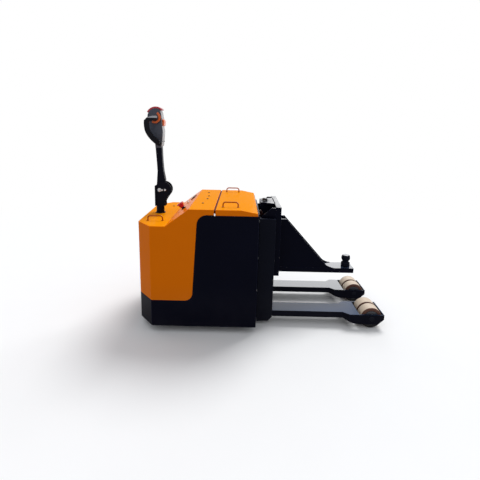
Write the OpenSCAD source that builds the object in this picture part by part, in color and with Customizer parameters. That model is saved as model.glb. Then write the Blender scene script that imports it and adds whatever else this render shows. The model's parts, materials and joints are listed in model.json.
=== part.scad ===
// Electric baggage tug: a driven body with a tiller at the front, two support legs
// at the back, and between them a carriage that lifts a tow ball on a short mast.
// X runs from the front face to the leg tips, Y runs across and Z up from the floor.
// Places along X are given as the distance s behind the front face.

/* [Body] */
// Front face to rear face
body_l = 808; // [780:1:840]
// Width over the side panels
body_w = 800; // [770:1:830]
// Height of the hood and the lid
hood_h = 859; // [850:1:880]
// Height of the front deck
deck_h = 743; // [725:1:755]
// Length of the front deck
deck_l = 205; // [195:1:215]
// Length of the sloping console behind the deck
console_l = 152; // [145:1:160]
// Thickness of the body's sheets
sheet_t = 6; // [5:0.5:8]
// Length of the cut front corners along X
corner_l = 105; // [90:1:120]
// Width of the cut front corners across
corner_w = 124; // [110:1:140]
// Ground clearance under the skirt
skirt_z = 47; // [40:1:55]
// Height of the front cover's lower edge
cover_z = 233; // [220:1:245]
// Depth of the lid's side walls, which stand on the side panels
lid_h = 38; // [32:1:46]
// Place of the side panel's slanted front edge at its foot
panel_foot_s = 378; // [365:1:390]
// Lean of that edge from foot to head
panel_lean = 36; // [20:1:50]
// Radius of the panel's upper front corner
panel_head_r = 64; // [50:1:75]
// Radius where the panel runs into the low front band
panel_foot_r = 55; // [40:1:70]
// Joint line between the side panel and the front cover
panel_gap = 2; // [1:0.5:4]

/* [Lid] */
// Place of the groove between the hood and the lid
groove_s = 519; // [505:1:530]
// Width of that groove
groove_w = 10; // [6:1:14]
// Length of the lid's sloping rear end
lid_tail_l = 106; // [80:1:130]
// Drop of the lid's sloping rear end
lid_tail_drop = 20; // [10:1:25]
// Gap between the lid's end and the body's rear face
lid_end_gap = 7; // [6.5:0.5:12]

/* [Pull handles] */
// Distance between a handle's feet
handle_l = 100; // [80:1:120]
// Height of a handle over its sheet
handle_h = 38; // [32:1:45]
// Thickness of a handle's rod
handle_d = 9; // [7:0.5:11]
// Inner bend radius of a handle
handle_bend = 13; // [8:1:15]
// Foot flange diameter
handle_foot_d = 18; // [15:1:24]
// Distance of the lid's handles from the middle
lid_handle_y = 305; // [280:1:330]
// Start of the lid's handles behind the groove
lid_handle_s = 43; // [25:1:50]
// Distance of the deck's handle from the middle
deck_handle_y = 250; // [220:1:260]
// Start of the deck's handle behind the front face
deck_handle_s = 58; // [45:1:75]

/* [Console] */
// Place of the stop knob up the console
stop_u = 95; // [80:1:110]
// Place of the stop knob across
stop_y = -110; // [-140:1:-80]
// Diameter of the stop knob's cap
stop_d = 54; // [48:1:60]
// Diameter of the stop knob where its body meets the cap
stop_body_d = 42; // [36:1:46]
// Diameter of the stop knob's stem
stop_stem_d = 24; // [20:1:28]
// Height of the stem over the console
stop_stem_h = 14; // [10:1:18]
// Height of the stop knob over the console
stop_h = 50; // [44:1:56]
// Place of the key switch across
key_y = 112; // [95:1:130]
// Diameter of the key switch's collar
key_d = 24; // [20:1:28]
// Place of the meter across
meter_y = 205; // [190:1:220]
// Place of the meter up the console
meter_u = 134; // [125:1:150]
// Meter's length up the console
meter_l = 36; // [30:1:50]
// Meter's width across
meter_w = 110; // [90:1:130]

/* [Steering column and tiller] */
// Place of the column behind the front face
column_s = 88; // [84:1:95]
// Diameter of the column
column_d = 58; // [52:1:64]
// Gap between the deck and the tiller's bracket
bracket_gap = 57; // [50:1:66]
// Distance of the tiller's pivot behind the column's middle
pivot_lead = 3; // [0:1:6]
// Height of the pivot over the bracket's foot
pivot_h = 119; // [112:1:126]
// Diameter of the pivot pin
pivot_d = 16; // [12:1:20]
// Distance of the stop pin behind the pivot
stop_pin_gap = 40; // [38:1:44]
// Diameter of the stop pin
stop_pin_d = 10; // [8:1:12]
// Gap between the arm and a cheek of the bracket
arm_gap = 3; // [2:0.5:5]
// Thickness of a cheek
cheek_t = 6; // [5:0.5:8]
// Radius of a cheek's round back
cheek_r = 58; // [54:1:60]
// Thickness of the bracket's front flanges
flange_t = 8; // [6:1:10]
// Reach of a front flange beyond its cheek
flange_w = 13; // [10:1:18]
// Width of the tiller's arm
arm_w = 44; // [38:1:50]
// Length of the arm from the pivot to the head
arm_l = 305; // [295:1:315]
// Radius of the arm's eye
arm_eye_r = 30; // [26:1:32]
// Height of the tiller's head over the arm
head_h = 287; // [278:1:296]
// Distance of the head's middle before the pivot
head_lead = 15; // [12:1:18]
// Half width of the head's upper body
head_y = 38; // [34:1:42]
// Swell of the head's side cheeks over that body
head_swell = 6; // [3:1:8]
// Thickness of the head's rear cover
cover_t = 5; // [3:1:6]
// Radius of the red button's arc
crown_r = 71; // [66:1:76]
// Thickness of the red button
crown_t = 13; // [10:1:16]
// Reach of the hand guards to each side
guard_y = 120; // [115:1:130]
// Thickness of a hand guard across
guard_t = 15; // [12:1:18]
// Width of a hand guard's bow, seen from the side
guard_w = 34; // [28:1:40]
// Outer radius of that bow
bow_r = 180; // [172:1:188]
// Inner radius of the bow
bow_in_r = 127; // [120:1:134]
// Distance of the grips before the head's middle
grip_lead = 12; // [8:1:16]
// Height of the grips over the arm's end
grip_h = 204; // [198:1:208]
// Diameter of the grips
grip_d = 30; // [26:1:32]
// Outer diameter of the thumb wheels
thumb_d = 82; // [76:1:88]
// Width of a thumb wheel's ring
thumb_w = 14; // [10:1:16]

/* [Drive unit and castors] */
// Place of the drive wheel behind the front face
drive_s = 200; // [195:1:215]
// Diameter of the drive wheel
drive_d = 250; // [240:1:254]
// Width of the drive wheel
drive_w = 80; // [70:1:84]
// Height of the plate that carries the drive unit
bridge_z = 290; // [280:1:300]
// Thickness of that plate
bridge_t = 12; // [10:1:15]
// Distance of the castors from the middle
castor_y = 282; // [274:1:285]
// Diameter of the castor wheels
castor_d = 125; // [115:1:130]
// Width of the castor wheels
castor_w = 50; // [40:1:54]
// Trail of the castor wheels behind their pins
castor_trail = 35; // [30:1:40]

/* [Mast and carriage] */
// Width over the mast's channels
mast_w = 540; // [530:1:550]
// Depth of a channel along X
mast_l = 110; // [106:1:116]
// Height of the mast
mast_z = 776; // [760:1:790]
// Height of a channel's foot over the floor
mast_foot_z = 25; // [20:1:35]
// Thickness of the plate behind the body that carries the mast
backing_t = 12; // [10:1:15]
// Carriage plate's thickness
carriage_t = 36; // [30:1:40]
// Carriage plate's width
carriage_w = 448; // [440:1:452]
// Height of the carriage plate's lower edge
carriage_z0 = 350; // [340:1:356]
// Height of the carriage plate's upper edge
carriage_z1 = 847; // [835:1:850]
// Travel of the carriage
lift = 180; // [150:1:190]
// Diameter of the carriage's guide rollers
roller_d = 80; // [76:0.5:81]
// Diameter of the lift cylinder
ram_d = 76; // [66:1:86]
// Diameter of its rod
rod_d = 45; // [38:1:50]

/* [Tow bracket] */
// Reach of the tow plate behind the carriage
tow_l = 586; // [565:1:605]
// Width of the tow plate over its side plates
tow_w = 130; // [120:1:140]
// Thickness of the tow plate
tow_t = 36; // [30:1:40]
// Height of the tow plate's top
tow_z = 355; // [350:1:365]
// Thickness of the side plates
web_t = 10; // [8:1:12]
// Height of the side plates at the carriage
web_z = 728; // [710:1:740]
// Slope of the side plates against the floor
web_a = 48; // [46:1:50]
// Radius of the curve in which they run out
sweep_r = 90; // [70:1:100]
// Diameter of the tow ball
ball_d = 66; // [60:1:70]
// Height of the tow ball's centre over the tow plate
ball_h = 63; // [60:1:70]
// Height of its flat top over its centre
ball_flat = 23; // [16:1:26]

/* [Legs and load wheels] */
// Reach of the legs behind the body
legs_l = 911; // [885:1:930]
// Distance of a leg's middle line from the tug's
leg_y = 199; // [194:1:204]
// Width of a leg's beam
leg_w = 130; // [120:1:136]
// Height of a leg's top
leg_z = 105; // [100:1:112]
// Depth of a leg's beam
leg_t = 44; // [38:1:50]
// Wall of the beam, a channel that is open below
leg_wall = 8; // [6:1:10]
// Width of a leg's wheel pocket
pocket_w = 200; // [196:1:208]
// Length of the wheel pocket with its flared start
pocket_l = 284; // [276:1:294]
// Length of the flared start
flare_l = 40; // [30:1:50]
// Length of the slope that deepens the leg under its flared start
drop_l = 90; // [60:1:95]
// Reach of the top plate over the pocket behind the flare
pocket_deck_l = 70; // [60:1:76]
// Depth of the pocket's side plates
pocket_t = 72; // [64:1:76]
// Thickness of the pocket's plates
pocket_wall = 6; // [5:0.5:7]
// Cut of the pocket's lower rear corner
tip_cut = 38; // [30:1:44]
// Place of the load wheels' axle before the leg's tip
axle_tip = 87; // [85:1:95]
// Diameter of the load wheels
load_d = 150; // [140:1:160]
// Width of one load wheel
load_w = 85; // [78:1:86]
// Diameter of their hubs
hub_d = 104; // [96:1:110]
// Diameter of the load wheels' axle
axle_d = 30; // [25:1:34]

/* [Hidden] */
$fn = 96;

// Radial clearance of pins in their bores, and the gap between parts that slide
pin_fit = 0.05;
seat_gap = 0.3;

total_l = body_l + legs_l;
front_x = -total_l / 2;
half_w = body_w / 2;
inner_w = body_w - 2 * sheet_t;
panel_z = hood_h - lid_h;
nose_y = half_w - corner_w;
corner_turn = atan(corner_l / corner_w);
console_a = atan((hood_h - deck_h) / console_l);
hood_s = deck_l + console_l;
lid_s = groove_s + groove_w;
lid_end_s = body_l - lid_end_gap;
lid_tail_s = lid_end_s - lid_tail_l;
lid_tail_a = atan(lid_tail_drop / lid_tail_l);
panel_head_s = panel_foot_s + panel_lean;
panel_slant = atan2(panel_z - cover_z, panel_lean);
bulkhead_s = panel_head_s - 25;
floor_z = 92;
floor_t = 8;
pan_s = body_l - sheet_t;
battery_gap = 23;
battery_side_gap = 64;
battery_top_gap = 121;

mast_s = body_l + backing_t;
mast_web_t = 12;
mast_flange_t = 13.5;
mast_flange_w = 40;
channel_in = mast_w / 2 - mast_web_t;
roller_s = mast_s + mast_l / 2;
carriage_s = mast_s + mast_l + 4;
tow_s = carriage_s + carriage_t;
ball_s = tow_s + tow_l - 48;
ball_z = tow_z + ball_h;
ram_s = roller_s - 6;
gland_z = mast_z - 6;
rod_foot_z = gland_z - 250;
top_bracket_w = 144;
top_bracket_root_w = 230;
top_bracket_z = carriage_z1 + 5;
top_bracket_t = 12;
top_bracket_s = mast_s + 12;
foot_plate_t = 30;
side_plate_t = 12;
side_plate_y = carriage_w / 2;

tip_s = total_l;
pocket_s = tip_s - pocket_l;
opening_s = pocket_s + flare_l + pocket_deck_l;
axle_s = tip_s - axle_tip;
load_z = load_d / 2;
pair_gap = 8;

bush_d = column_d + 10;
bush_z = deck_h - 60;
bracket_z = deck_h + bracket_gap;
bracket_t = 12;
pivot_s = column_s + pivot_lead;
pivot_z = bracket_z + pivot_h;
stop_pin_s = pivot_s + stop_pin_gap;
cheek_y = arm_w / 2 + arm_gap;
cheek_s = pivot_s + 28;
cheek_z = pivot_z + 2;
flange_s = pivot_s - 33;
heel_s = pivot_s + 42;

neck_z = pivot_z + arm_l;
neck_l = 76;
head_s = pivot_s - head_lead;
crown_z = neck_z + head_h - crown_r;
grip_s = head_s - grip_lead;
grip_z = neck_z + grip_h;
thumb_s = grip_s + 7;
thumb_z = grip_z + 8;
thumb_cut_a = 59;
bow_front_s = head_s - 63;
bow_z = neck_z + 165;
head_front_r = 158;
guard_end_s = head_s + 33;

// Rear line of the head above the neck, in shares of the head's height
rear_line = [
    [0.1185, 0.0418], [0.1429, 0.23], [0.1568, 0.4111], [0.1394, 0.5331], [0.1324, 0.7108],
    [0.122, 0.8258], [0.0976, 0.9024]
];

drive_z = drive_d / 2;
castor_z = castor_d / 2;
castor_head_z = castor_d + 35;
castor_bracket_t = 8;
hole_d = 190;

// A direction in the plane
function dir(a) = [cos(a), sin(a)];

// Places on the tiller: the arm in shares of its width and length, the head in shares of its height
function arm_at(x, z) = [pivot_s + x * arm_w, pivot_z + z * arm_l];
function head_at(x, z) = [head_s + x * head_h, neck_z + z * head_h];
function grip_at(x, z) = [grip_s + x * grip_d, grip_z + z * grip_d];
function head_rear(d) = [for (p = rear_line) head_at(p[0], p[1]) + [d, 0]];

// Half width of the head's cheeks at a height over the arm, up to where they are full
function neck_y(h) = arm_w / 2 + h * (head_y + head_swell - arm_w / 2) / neck_l;

// From distances behind the front face to the tug's own frame
module from_front(s = 0, y = 0, z = 0) translate([front_x + s, y, z]) children();

// An outline in s and z, drawn out between two places across
module across(y0, y1) from_front(0, y1) rotate([90, 0, 0]) linear_extrude(y1 - y0) children();

// An outline in y and z, drawn out along X between two distances
module along(s0, s1) from_front(s0) rotate([90, 0, 90]) linear_extrude(s1 - s0) children();

// The driver faces the other way than X, so left is the side of negative Y
module left() mirror([0, 1, 0]) children();

// Both sides in one node
module both() {
    children();
    left() children();
}

// A rod or disc across the tug
module rod(d, s, z, y0, y1) from_front(s, y1, z) rotate([90, 0, 0]) cylinder(d = d, h = y1 - y0);

// Centre of a circle that touches both sides of a corner at v, the sides leaving it at a and b
function corner_centre(v, a, b, r) = v + dir((a + b) / 2) * r / sin((b - a) / 2);

// Distance from that corner to where the circle touches
function corner_reach(a, b, r) = r / tan((b - a) / 2);

// The body seen from above, with cut front corners, drawn in by t
module plan(t, s1 = body_l) {
    y0 = nose_y - t * tan(corner_turn / 2);
    s0 = corner_l + t * tan(45 - corner_turn / 2);
    polygon([
        [t, -y0], [s0, t - half_w], [s1, t - half_w],
        [s1, half_w - t], [s0, half_w - t], [t, y0]
    ]);
}

// Hood and deck seen from the side, drawn in by t and open downwards
module hood_side(t, z0, s1) {
    k = t * tan(console_a / 2);
    polygon([
        [t, z0], [t, deck_h - t], [deck_l + k, deck_h - t],
        [hood_s + k, hood_h - t], [s1, hood_h - t], [s1, z0]
    ]);
}

// Side panel with its low front band, grown by g towards the cover
module panel_side(g) {
    foot = [panel_foot_s - g, cover_z];
    foot_r = panel_foot_r - g;
    foot_centre = corner_centre(foot, panel_slant, 180, foot_r);
    foot_reach = corner_reach(panel_slant, 180, foot_r);
    head = [panel_head_s - g, panel_z + g];
    head_r = panel_head_r + g;
    head_centre = corner_centre(head, panel_slant + 180, 360, head_r);
    head_reach = corner_reach(panel_slant + 180, 360, head_r);
    difference() {
        polygon([
            [corner_l, skirt_z], [corner_l, cover_z], foot + foot_reach * dir(180),
            foot_centre, foot + foot_reach * dir(panel_slant), head,
            [body_l, panel_z + g], [body_l, skirt_z]
        ]);
        translate(foot_centre) circle(foot_r);
        difference() {
            polygon([
                head, head + head_reach * dir(panel_slant + 180), head_centre,
                head + [head_reach, 0]
            ]);
            translate(head_centre) circle(head_r);
        }
    }
}

// The lid seen from the side, drawn in by t and open below
module lid_side(t, s0, z0) {
    s1 = lid_end_s - t;
    z1 = hood_h - lid_tail_drop + t * tan(lid_tail_a) - t / cos(lid_tail_a);
    polygon([
        [s0, z0], [s0, hood_h - t], [lid_tail_s - t * tan(lid_tail_a / 2), hood_h - t],
        [s1, z1], [s1, z0]
    ]);
}

// A bent rod handle on a sheet at height z, along X from s
module pull_handle(s, y, z) {
    bend = handle_bend + handle_d / 2;
    top = handle_h - handle_d / 2;
    from_front(s, y, z) {
        for (end = [0, 1]) translate([end * handle_l, 0, 0]) {
            cylinder(d = handle_d, h = top - bend);
            cylinder(d = handle_foot_d, h = 3);
            translate([bend * (1 - 2 * end), 0, top - bend]) rotate([90, 0, 0])
                rotate([0, 0, 90 * (1 - end)]) rotate_extrude(angle = 90) translate([bend, 0])
                    circle(d = handle_d, $fn = 32);
        }
        translate([bend, 0, top]) rotate([0, 90, 0]) cylinder(d = handle_d, h = handle_l - 2 * bend);
    }
}

// A place on the console, with Z square to its slope
module on_console(u, y) from_front(deck_l, y, deck_h) rotate([0, -console_a, 0])
    translate([u, 0, 0]) children();

module front_skirt() color("#15161a") from_front(0, 0, skirt_z)
    linear_extrude(cover_z - skirt_z) difference() {
        plan(0, corner_l);
        plan(sheet_t, corner_l + 20);
    }

module side_panel() color("#15161a") across(half_w - sheet_t, half_w) panel_side(0);

module rear_panel() color("#15161a") from_front(pan_s, 0, skirt_z)
    translate([0, sheet_t - half_w, 0])
        cube([sheet_t, body_w - 2 * sheet_t, panel_z - skirt_z]);

// Floor under the battery, with the wall before it
module floor_pan() color("#1d1e22") {
    from_front(bulkhead_s, -inner_w / 2, floor_z) {
        cube([pan_s - bulkhead_s, inner_w, floor_t]);
        cube([sheet_t, inner_w, panel_z - battery_top_gap - floor_z]);
    }
}

// Bridge over the drive wheel, with its side walls and the castors' posts
module drive_frame() color("#1d1e22") difference() {
    wall_z = 120;
    union() {
        from_front(0, 0, bridge_z) linear_extrude(bridge_t) plan(2 * sheet_t, bulkhead_s);
        both() from_front(corner_l + 20, inner_w / 2 - 8, wall_z)
            cube([bulkhead_s - corner_l - 20, 8, bridge_z - wall_z]);
        both() from_front(drive_s, castor_y, castor_head_z + castor_bracket_t)
            cylinder(d = 84, h = bridge_z - castor_head_z - castor_bracket_t);
        both() from_front(drive_s - 52, castor_y - 48, castor_head_z)
            cube([104, 96, castor_bracket_t]);
    }
    from_front(drive_s, 0, bridge_z - 1) cylinder(d = hole_d, h = bridge_t + 2);
    both() from_front(drive_s, castor_y, castor_head_z - 1)
        cylinder(d = 20 + 2 * pin_fit, h = 41);
}

module front_cover() color("#f59a12") difference() {
    intersection() {
        across(-half_w, half_w) hood_side(0, cover_z, groove_s);
        from_front() linear_extrude(hood_h) plan(0);
    }
    intersection() {
        across(-half_w, half_w) hood_side(sheet_t, cover_z - 1, groove_s + 1);
        from_front() linear_extrude(hood_h) plan(sheet_t, body_l);
    }
    across(-half_w - 1, half_w + 1) panel_side(panel_gap);
    from_front(column_s, 0, deck_h - 2 * sheet_t) cylinder(d = bush_d, h = 3 * sheet_t);
}

module lid() color("#f59a12") difference() {
    across(-half_w, half_w) lid_side(0, lid_s, panel_z);
    across(sheet_t - half_w, half_w - sheet_t) lid_side(sheet_t, lid_s - 1, panel_z - 1);
}

// Flat bar under the groove, on two legs inside the side panels
module cross_bar() color("#b9bcc0") {
    bar_y = half_w - sheet_t - 4;
    bar_z = hood_h - sheet_t;
    leg_z0 = panel_z - 90;
    from_front(groove_s - 25, -bar_y, bar_z - 6) cube([groove_w + 50, 2 * bar_y, 6]);
    both() from_front(groove_s - 10, bar_y - 6, leg_z0) {
        cube([groove_w + 20, 6, bar_z - 3 - leg_z0]);
        cube([groove_w + 20, 10, panel_z - 6 - leg_z0]);
    }
}

// The battery, a plain block of its real size
module battery() color("#3a3d42") {
    battery_s = bulkhead_s + sheet_t + battery_gap;
    battery_w = inner_w - 2 * battery_side_gap;
    bottom_z = floor_z + floor_t;
    from_front(battery_s, -battery_w / 2, bottom_z)
        cube([pan_s - battery_gap - battery_s, battery_w, panel_z - battery_top_gap - bottom_z]);
}

// Plate behind the body, with the foot between the legs that the cylinder stands on
module mast_plate() color("#1b1c20") {
    leg_in = leg_y - leg_w / 2;
    from_front(body_l, -mast_w / 2, skirt_z) cube([backing_t, mast_w, mast_z + 30 - skirt_z]);
    from_front(mast_s, -leg_in, leg_z - leg_t)
        cube([mast_l, 2 * leg_in, foot_plate_t]);
}

// A channel that opens to the middle, its web reaching down past the leg
module mast_channel() color("#1b1c20") {
    flange_z0 = leg_z + 5;
    cut = 32;
    across(channel_in, mast_w / 2) polygon([
        [mast_s, mast_foot_z], [mast_s + mast_l - cut, mast_foot_z],
        [mast_s + mast_l, mast_foot_z + cut], [mast_s + mast_l, mast_z], [mast_s, mast_z]
    ]);
    for (s = [mast_s, mast_s + mast_l - mast_flange_t])
        from_front(s, mast_w / 2 - mast_flange_w, flange_z0)
            cube([mast_flange_t, mast_flange_w, mast_z - flange_z0]);
}

module lift_cylinder() color("#4a2a28") {
    foot = leg_z - leg_t + foot_plate_t;
    difference() {
        from_front(ram_s, 0, foot) {
            cylinder(d = ram_d, h = gland_z - foot);
            cylinder(d = ram_d + 20, h = 14);
            translate([0, 0, gland_z - foot - 30]) cylinder(d = ram_d + 8, h = 30);
        }
        from_front(ram_s, 0, foot + 20) cylinder(d = rod_d + 2 * pin_fit, h = gland_z);
    }
}

// A leg: its root between the mast's channels, its beam, which is open below, and the pocket
// that holds the load wheels
module leg() color("#17181b") {
    out = pocket_w / 2;
    half = leg_w / 2;
    root_s = mast_s + mast_l + 2;
    root_y = channel_in - leg_y;
    flare_s = pocket_s + flare_l;
    difference() {
        intersection() {
            from_front(0, leg_y) linear_extrude(leg_z) polygon([
                [mast_s, -half], [pocket_s, -half], [flare_s, -out], [tip_s, -out],
                [tip_s, out], [flare_s, out], [pocket_s, half], [root_s, half],
                [root_s, root_y], [mast_s, root_y]
            ]);
            across(leg_y - out - 1, leg_y + out + 1) polygon([
                [mast_s, leg_z - leg_t], [pocket_s, leg_z - leg_t],
                [pocket_s + drop_l, leg_z - pocket_t], [tip_s - tip_cut, leg_z - pocket_t],
                [tip_s, leg_z - pocket_t + tip_cut], [tip_s, leg_z], [mast_s, leg_z]
            ]);
        }
        from_front(root_s + leg_wall, leg_y - half + leg_wall, 0)
            cube([pocket_s - root_s - 2 * leg_wall, leg_w - 2 * leg_wall, leg_z - leg_wall]);
        from_front(flare_s + pocket_wall, leg_y - out + pocket_wall, 0) {
            cube([tip_s - flare_s - 2 * pocket_wall, pocket_w - 2 * pocket_wall, leg_z - leg_wall]);
            translate([opening_s - flare_s - pocket_wall, 0, 0])
                cube([tip_s - pocket_wall - opening_s, pocket_w - 2 * pocket_wall, leg_z + 1]);
        }
        rod(axle_d, axle_s, load_z, leg_y - out - 1, leg_y + out + 1);
    }
}

module leg_axles() color("#8b8e93") both() {
    out = pocket_w / 2;
    rod(axle_d, axle_s, load_z, leg_y - out, leg_y + out);
    rod(axle_d + 6, axle_s, load_z, leg_y + out, leg_y + out + 4);
}

module stop_stem() color("#111214") on_console(stop_u, stop_y) {
    cylinder(d = stop_stem_d + 14, h = 4);
    cylinder(d = stop_stem_d, h = stop_stem_h);
}

module stop_knob() color("#c01420") on_console(stop_u, stop_y)
    rotate_extrude() polygon([
        [0, stop_stem_h], [stop_stem_d / 2 + 2, stop_stem_h], [stop_body_d / 2, stop_h - 11],
        [stop_d / 2, stop_h - 11], [stop_d / 2, stop_h - 6], [stop_d / 2 - 8, stop_h - 1],
        [0, stop_h]
    ]);

module key_switch() color("#d8d2c4") on_console(stop_u, key_y) {
    cylinder(d = key_d, h = 5);
    cylinder(d = key_d * 0.65, h = 12);
    translate([-1.2, -6, 10]) cube([2.4, 12, 6]);
}

module meter() color("#16171a") on_console(meter_u, meter_y)
    translate([-meter_l / 2, -meter_w / 2, 0]) cube([meter_l, meter_w, 5]);

module column_bush() color("#101114") difference() {
    from_front(column_s, 0, 0) {
        translate([0, 0, deck_h]) cylinder(d = bush_d + 6, h = 5);
        translate([0, 0, bush_z]) cylinder(d = bush_d, h = deck_h - bush_z);
    }
    from_front(column_s, 0, bush_z - 1) cylinder(d = column_d + 2 * pin_fit, h = bracket_z - bush_z);
}

module steering_column() color("#141518") from_front(column_s, 0, bush_z - 12) {
    cylinder(d = column_d, h = bracket_z - bush_z + 12);
    cylinder(d = column_d + 8, h = 12 - seat_gap);
}

// Two cheeks on a foot plate, each with a flange turned out at the front
module hub_bracket() color("#141518") difference() {
    flange_h = pivot_h + 31;
    union() {
        both() across(cheek_y, cheek_y + cheek_t) {
            translate([cheek_s, cheek_z]) circle(cheek_r);
            polygon([
                [flange_s, bracket_z], [flange_s, bracket_z + flange_h],
                [cheek_s - 40, bracket_z + flange_h + 12], [cheek_s - 10, cheek_z + cheek_r - 1],
                [cheek_s + 44, cheek_z - 38], [heel_s + 10, cheek_z - 67],
                [heel_s - 4, cheek_z - 92], [heel_s, bracket_z]
            ]);
        }
        both() from_front(flange_s, cheek_y, bracket_z)
            cube([flange_t, cheek_t + flange_w, flange_h]);
        from_front(flange_s, -cheek_y, bracket_z)
            cube([heel_s - flange_s, 2 * cheek_y, bracket_t]);
    }
    rod(pivot_d, pivot_s, pivot_z, -guard_y, guard_y);
    rod(stop_pin_d, stop_pin_s, pivot_z, -guard_y, guard_y);
}

// Pivot pin and stop pin with their bright heads
module hub_bolts() color("#c9ccd0") {
    face = cheek_y + cheek_t;
    rod(pivot_d, pivot_s, pivot_z, -face, face);
    both() rod(pivot_d + 12, pivot_s, pivot_z, face, face + 8);
    rod(stop_pin_d, stop_pin_s, pivot_z, -face, face);
    both() rod(stop_pin_d + 6, stop_pin_s, pivot_z, face, face + 6);
}

// The arm swells at the middle of its back and stands on a round eye
module tiller_arm() color("#17181b") difference() {
    union() {
        rod(2 * arm_eye_r, pivot_s, pivot_z, -arm_w / 2, arm_w / 2);
        across(-arm_w / 2, arm_w / 2) polygon([
            arm_at(0, -0.05), arm_at(-0.64, 0.02), arm_at(-0.5, 0.148), arm_at(-0.34, 0.449),
            arm_at(-0.43, 0.698), arm_at(-0.57, 1), arm_at(0.45, 1), arm_at(0.51, 0.698),
            arm_at(0.65, 0.449), arm_at(0.93, 0.233), arm_at(0.61, 0.02)
        ]);
    }
    rod(pivot_d + 2 * pin_fit, pivot_s, pivot_z, -arm_w, arm_w);
}

// The round front of the head under its crown
module head_front() translate([head_s - 53 + head_front_r, bow_z + 5]) circle(head_front_r);

// Head seen from the side: the narrow upper body under the red button
module head_core() intersection() {
    polygon(concat([head_at(-0.22, 0.12), head_at(-0.22, 1), head_at(0.07, 1)], [
        for (k = [1 : len(rear_line)]) head_rear(0)[len(rear_line) - k]
    ]));
    union() {
        translate([head_s, crown_z]) circle(crown_r - crown_t);
        intersection() {
            head_front();
            translate([head_s - crown_r, neck_z]) square([2 * crown_r, crown_z - neck_z]);
        }
    }
}

// The neck and the raised cheek on each side of the head
module head_cheek() {
    polygon([
        arm_at(-0.57, 1), head_at(-0.0348, 0.28), head_rear(0)[1], head_rear(0)[0],
        arm_at(0.45, 1)
    ]);
    intersection() {
        head_front();
        polygon([
            head_at(-0.15, 0.1), head_at(-0.0976, 0.3833), head_at(0.0174, 0.554),
            head_at(0.0906, 0.6167), head_at(0.134, 0.6411), head_rear(0)[3], head_rear(0)[2],
            head_rear(0)[1], head_rear(0)[0]
        ]);
    }
}

module tiller_head() color("#2b2f36") intersection() {
    wide_y = head_y + head_swell;
    union() {
        across(-head_y, head_y) head_core();
        across(-wide_y, wide_y) head_cheek();
    }
    along(0, head_s + head_h) polygon([
        [-neck_y(0), neck_z], [-wide_y, neck_z + neck_l], [-wide_y, neck_z + head_h],
        [wide_y, neck_z + head_h], [wide_y, neck_z + neck_l], [neck_y(0), neck_z]
    ]);
}

module head_cover() color("#c9cccf") across(-head_y, head_y) polygon(concat(head_rear(0), [
    for (k = [1 : len(rear_line)]) head_rear(cover_t)[len(rear_line) - k]
]));

module head_rocker() color("#e8703a") across(8 - head_y, head_y - 8) polygon([
    head_rear(cover_t)[3], head_rear(cover_t)[4], head_at(0.1812, 0.6864),
    head_at(0.2021, 0.6516), head_at(0.1916, 0.547)
]);

// Red button: an arc over the head's crown
module belly_button() color("#c2183a") across(6 - head_y, head_y - 6)
    translate([head_s, crown_z]) intersection() {
        difference() {
            circle(crown_r);
            circle(crown_r - crown_t);
        }
        polygon([[0, 0], 2 * crown_r * dir(49), 2 * crown_r * dir(101), 2 * crown_r * dir(153)]);
    }

// Thumb wheels: half rings round the grips
module thumb_wheels() color("#ef7f2a") both() across(head_y, head_y + thumb_w)
    translate([thumb_s, thumb_z]) difference() {
        circle(d = thumb_d);
        circle(d = thumb_d - 2 * thumb_w);
        rotate(thumb_cut_a) translate([-thumb_d, 0]) square([2 * thumb_d, thumb_d]);
    }

// A hand guard seen from the side: its bow, and the bar round the grip's outer end
module bow_side() {
    difference() {
        intersection() {
            translate([bow_front_s + bow_r, bow_z]) circle(bow_r);
            translate([0, neck_z]) square([guard_end_s, grip_z - 12 - neck_z]);
        }
        translate([bow_front_s + guard_w + bow_in_r, bow_z]) circle(bow_in_r);
    }
    polygon([
        grip_at(-1.67, -0.75), grip_at(-1.45, -0.33), grip_at(-1.03, 0.13), grip_at(-0.23, 0.4),
        grip_at(0.5, 0.53), grip_at(1.1, 0.57), grip_at(1.3, 0.4), grip_at(1.27, 0),
        grip_at(1.07, -0.3), grip_at(0.07, -0.63), grip_at(-0.8, -0.7)
    ]);
}

// A guard runs from the neck round to the outer end of its grip
module hand_guard() color("#17181b") {
    inside = guard_y - guard_t;
    intersection() {
        along(0, guard_end_s) polygon([
            [neck_y(12), neck_z + 12], [60, neck_z + 20], [guard_y - 14, neck_z + 86],
            [guard_y, neck_z + 116], [guard_y, grip_z + 2], [guard_y - 12, grip_z + 17],
            [inside, grip_z + 17], [inside, neck_z + 122], [inside - 12, neck_z + 98],
            [56, neck_z + 42], [neck_y(42), neck_z + 42]
        ]);
        across(0, guard_y + 1) bow_side();
    }
    rod(grip_d, grip_s, grip_z, head_y, inside);
}

// Drive motor over its gear case, which hangs beside the wheel
module drive_housing() color("#2a2c30") {
    case_y = drive_w / 2 + 5;
    case_w = 46;
    case_r = 58;
    neck_top = bridge_z + bridge_t + seat_gap;
    crown_z = drive_d + 12;
    from_front(drive_s) {
        translate([0, 0, neck_top]) cylinder(d = hole_d + 40, h = 14);
        translate([0, 0, neck_top]) cylinder(d = 165, h = 250);
        translate([0, 0, crown_z]) cylinder(d = hole_d - 10, h = neck_top - crown_z);
    }
    across(case_y, case_y + case_w) {
        translate([drive_s, drive_z]) circle(case_r);
        translate([drive_s - case_r, drive_z]) square([2 * case_r, crown_z + 10 - drive_z]);
    }
    rod(40, drive_s, drive_z, 0, case_y);
}

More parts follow.
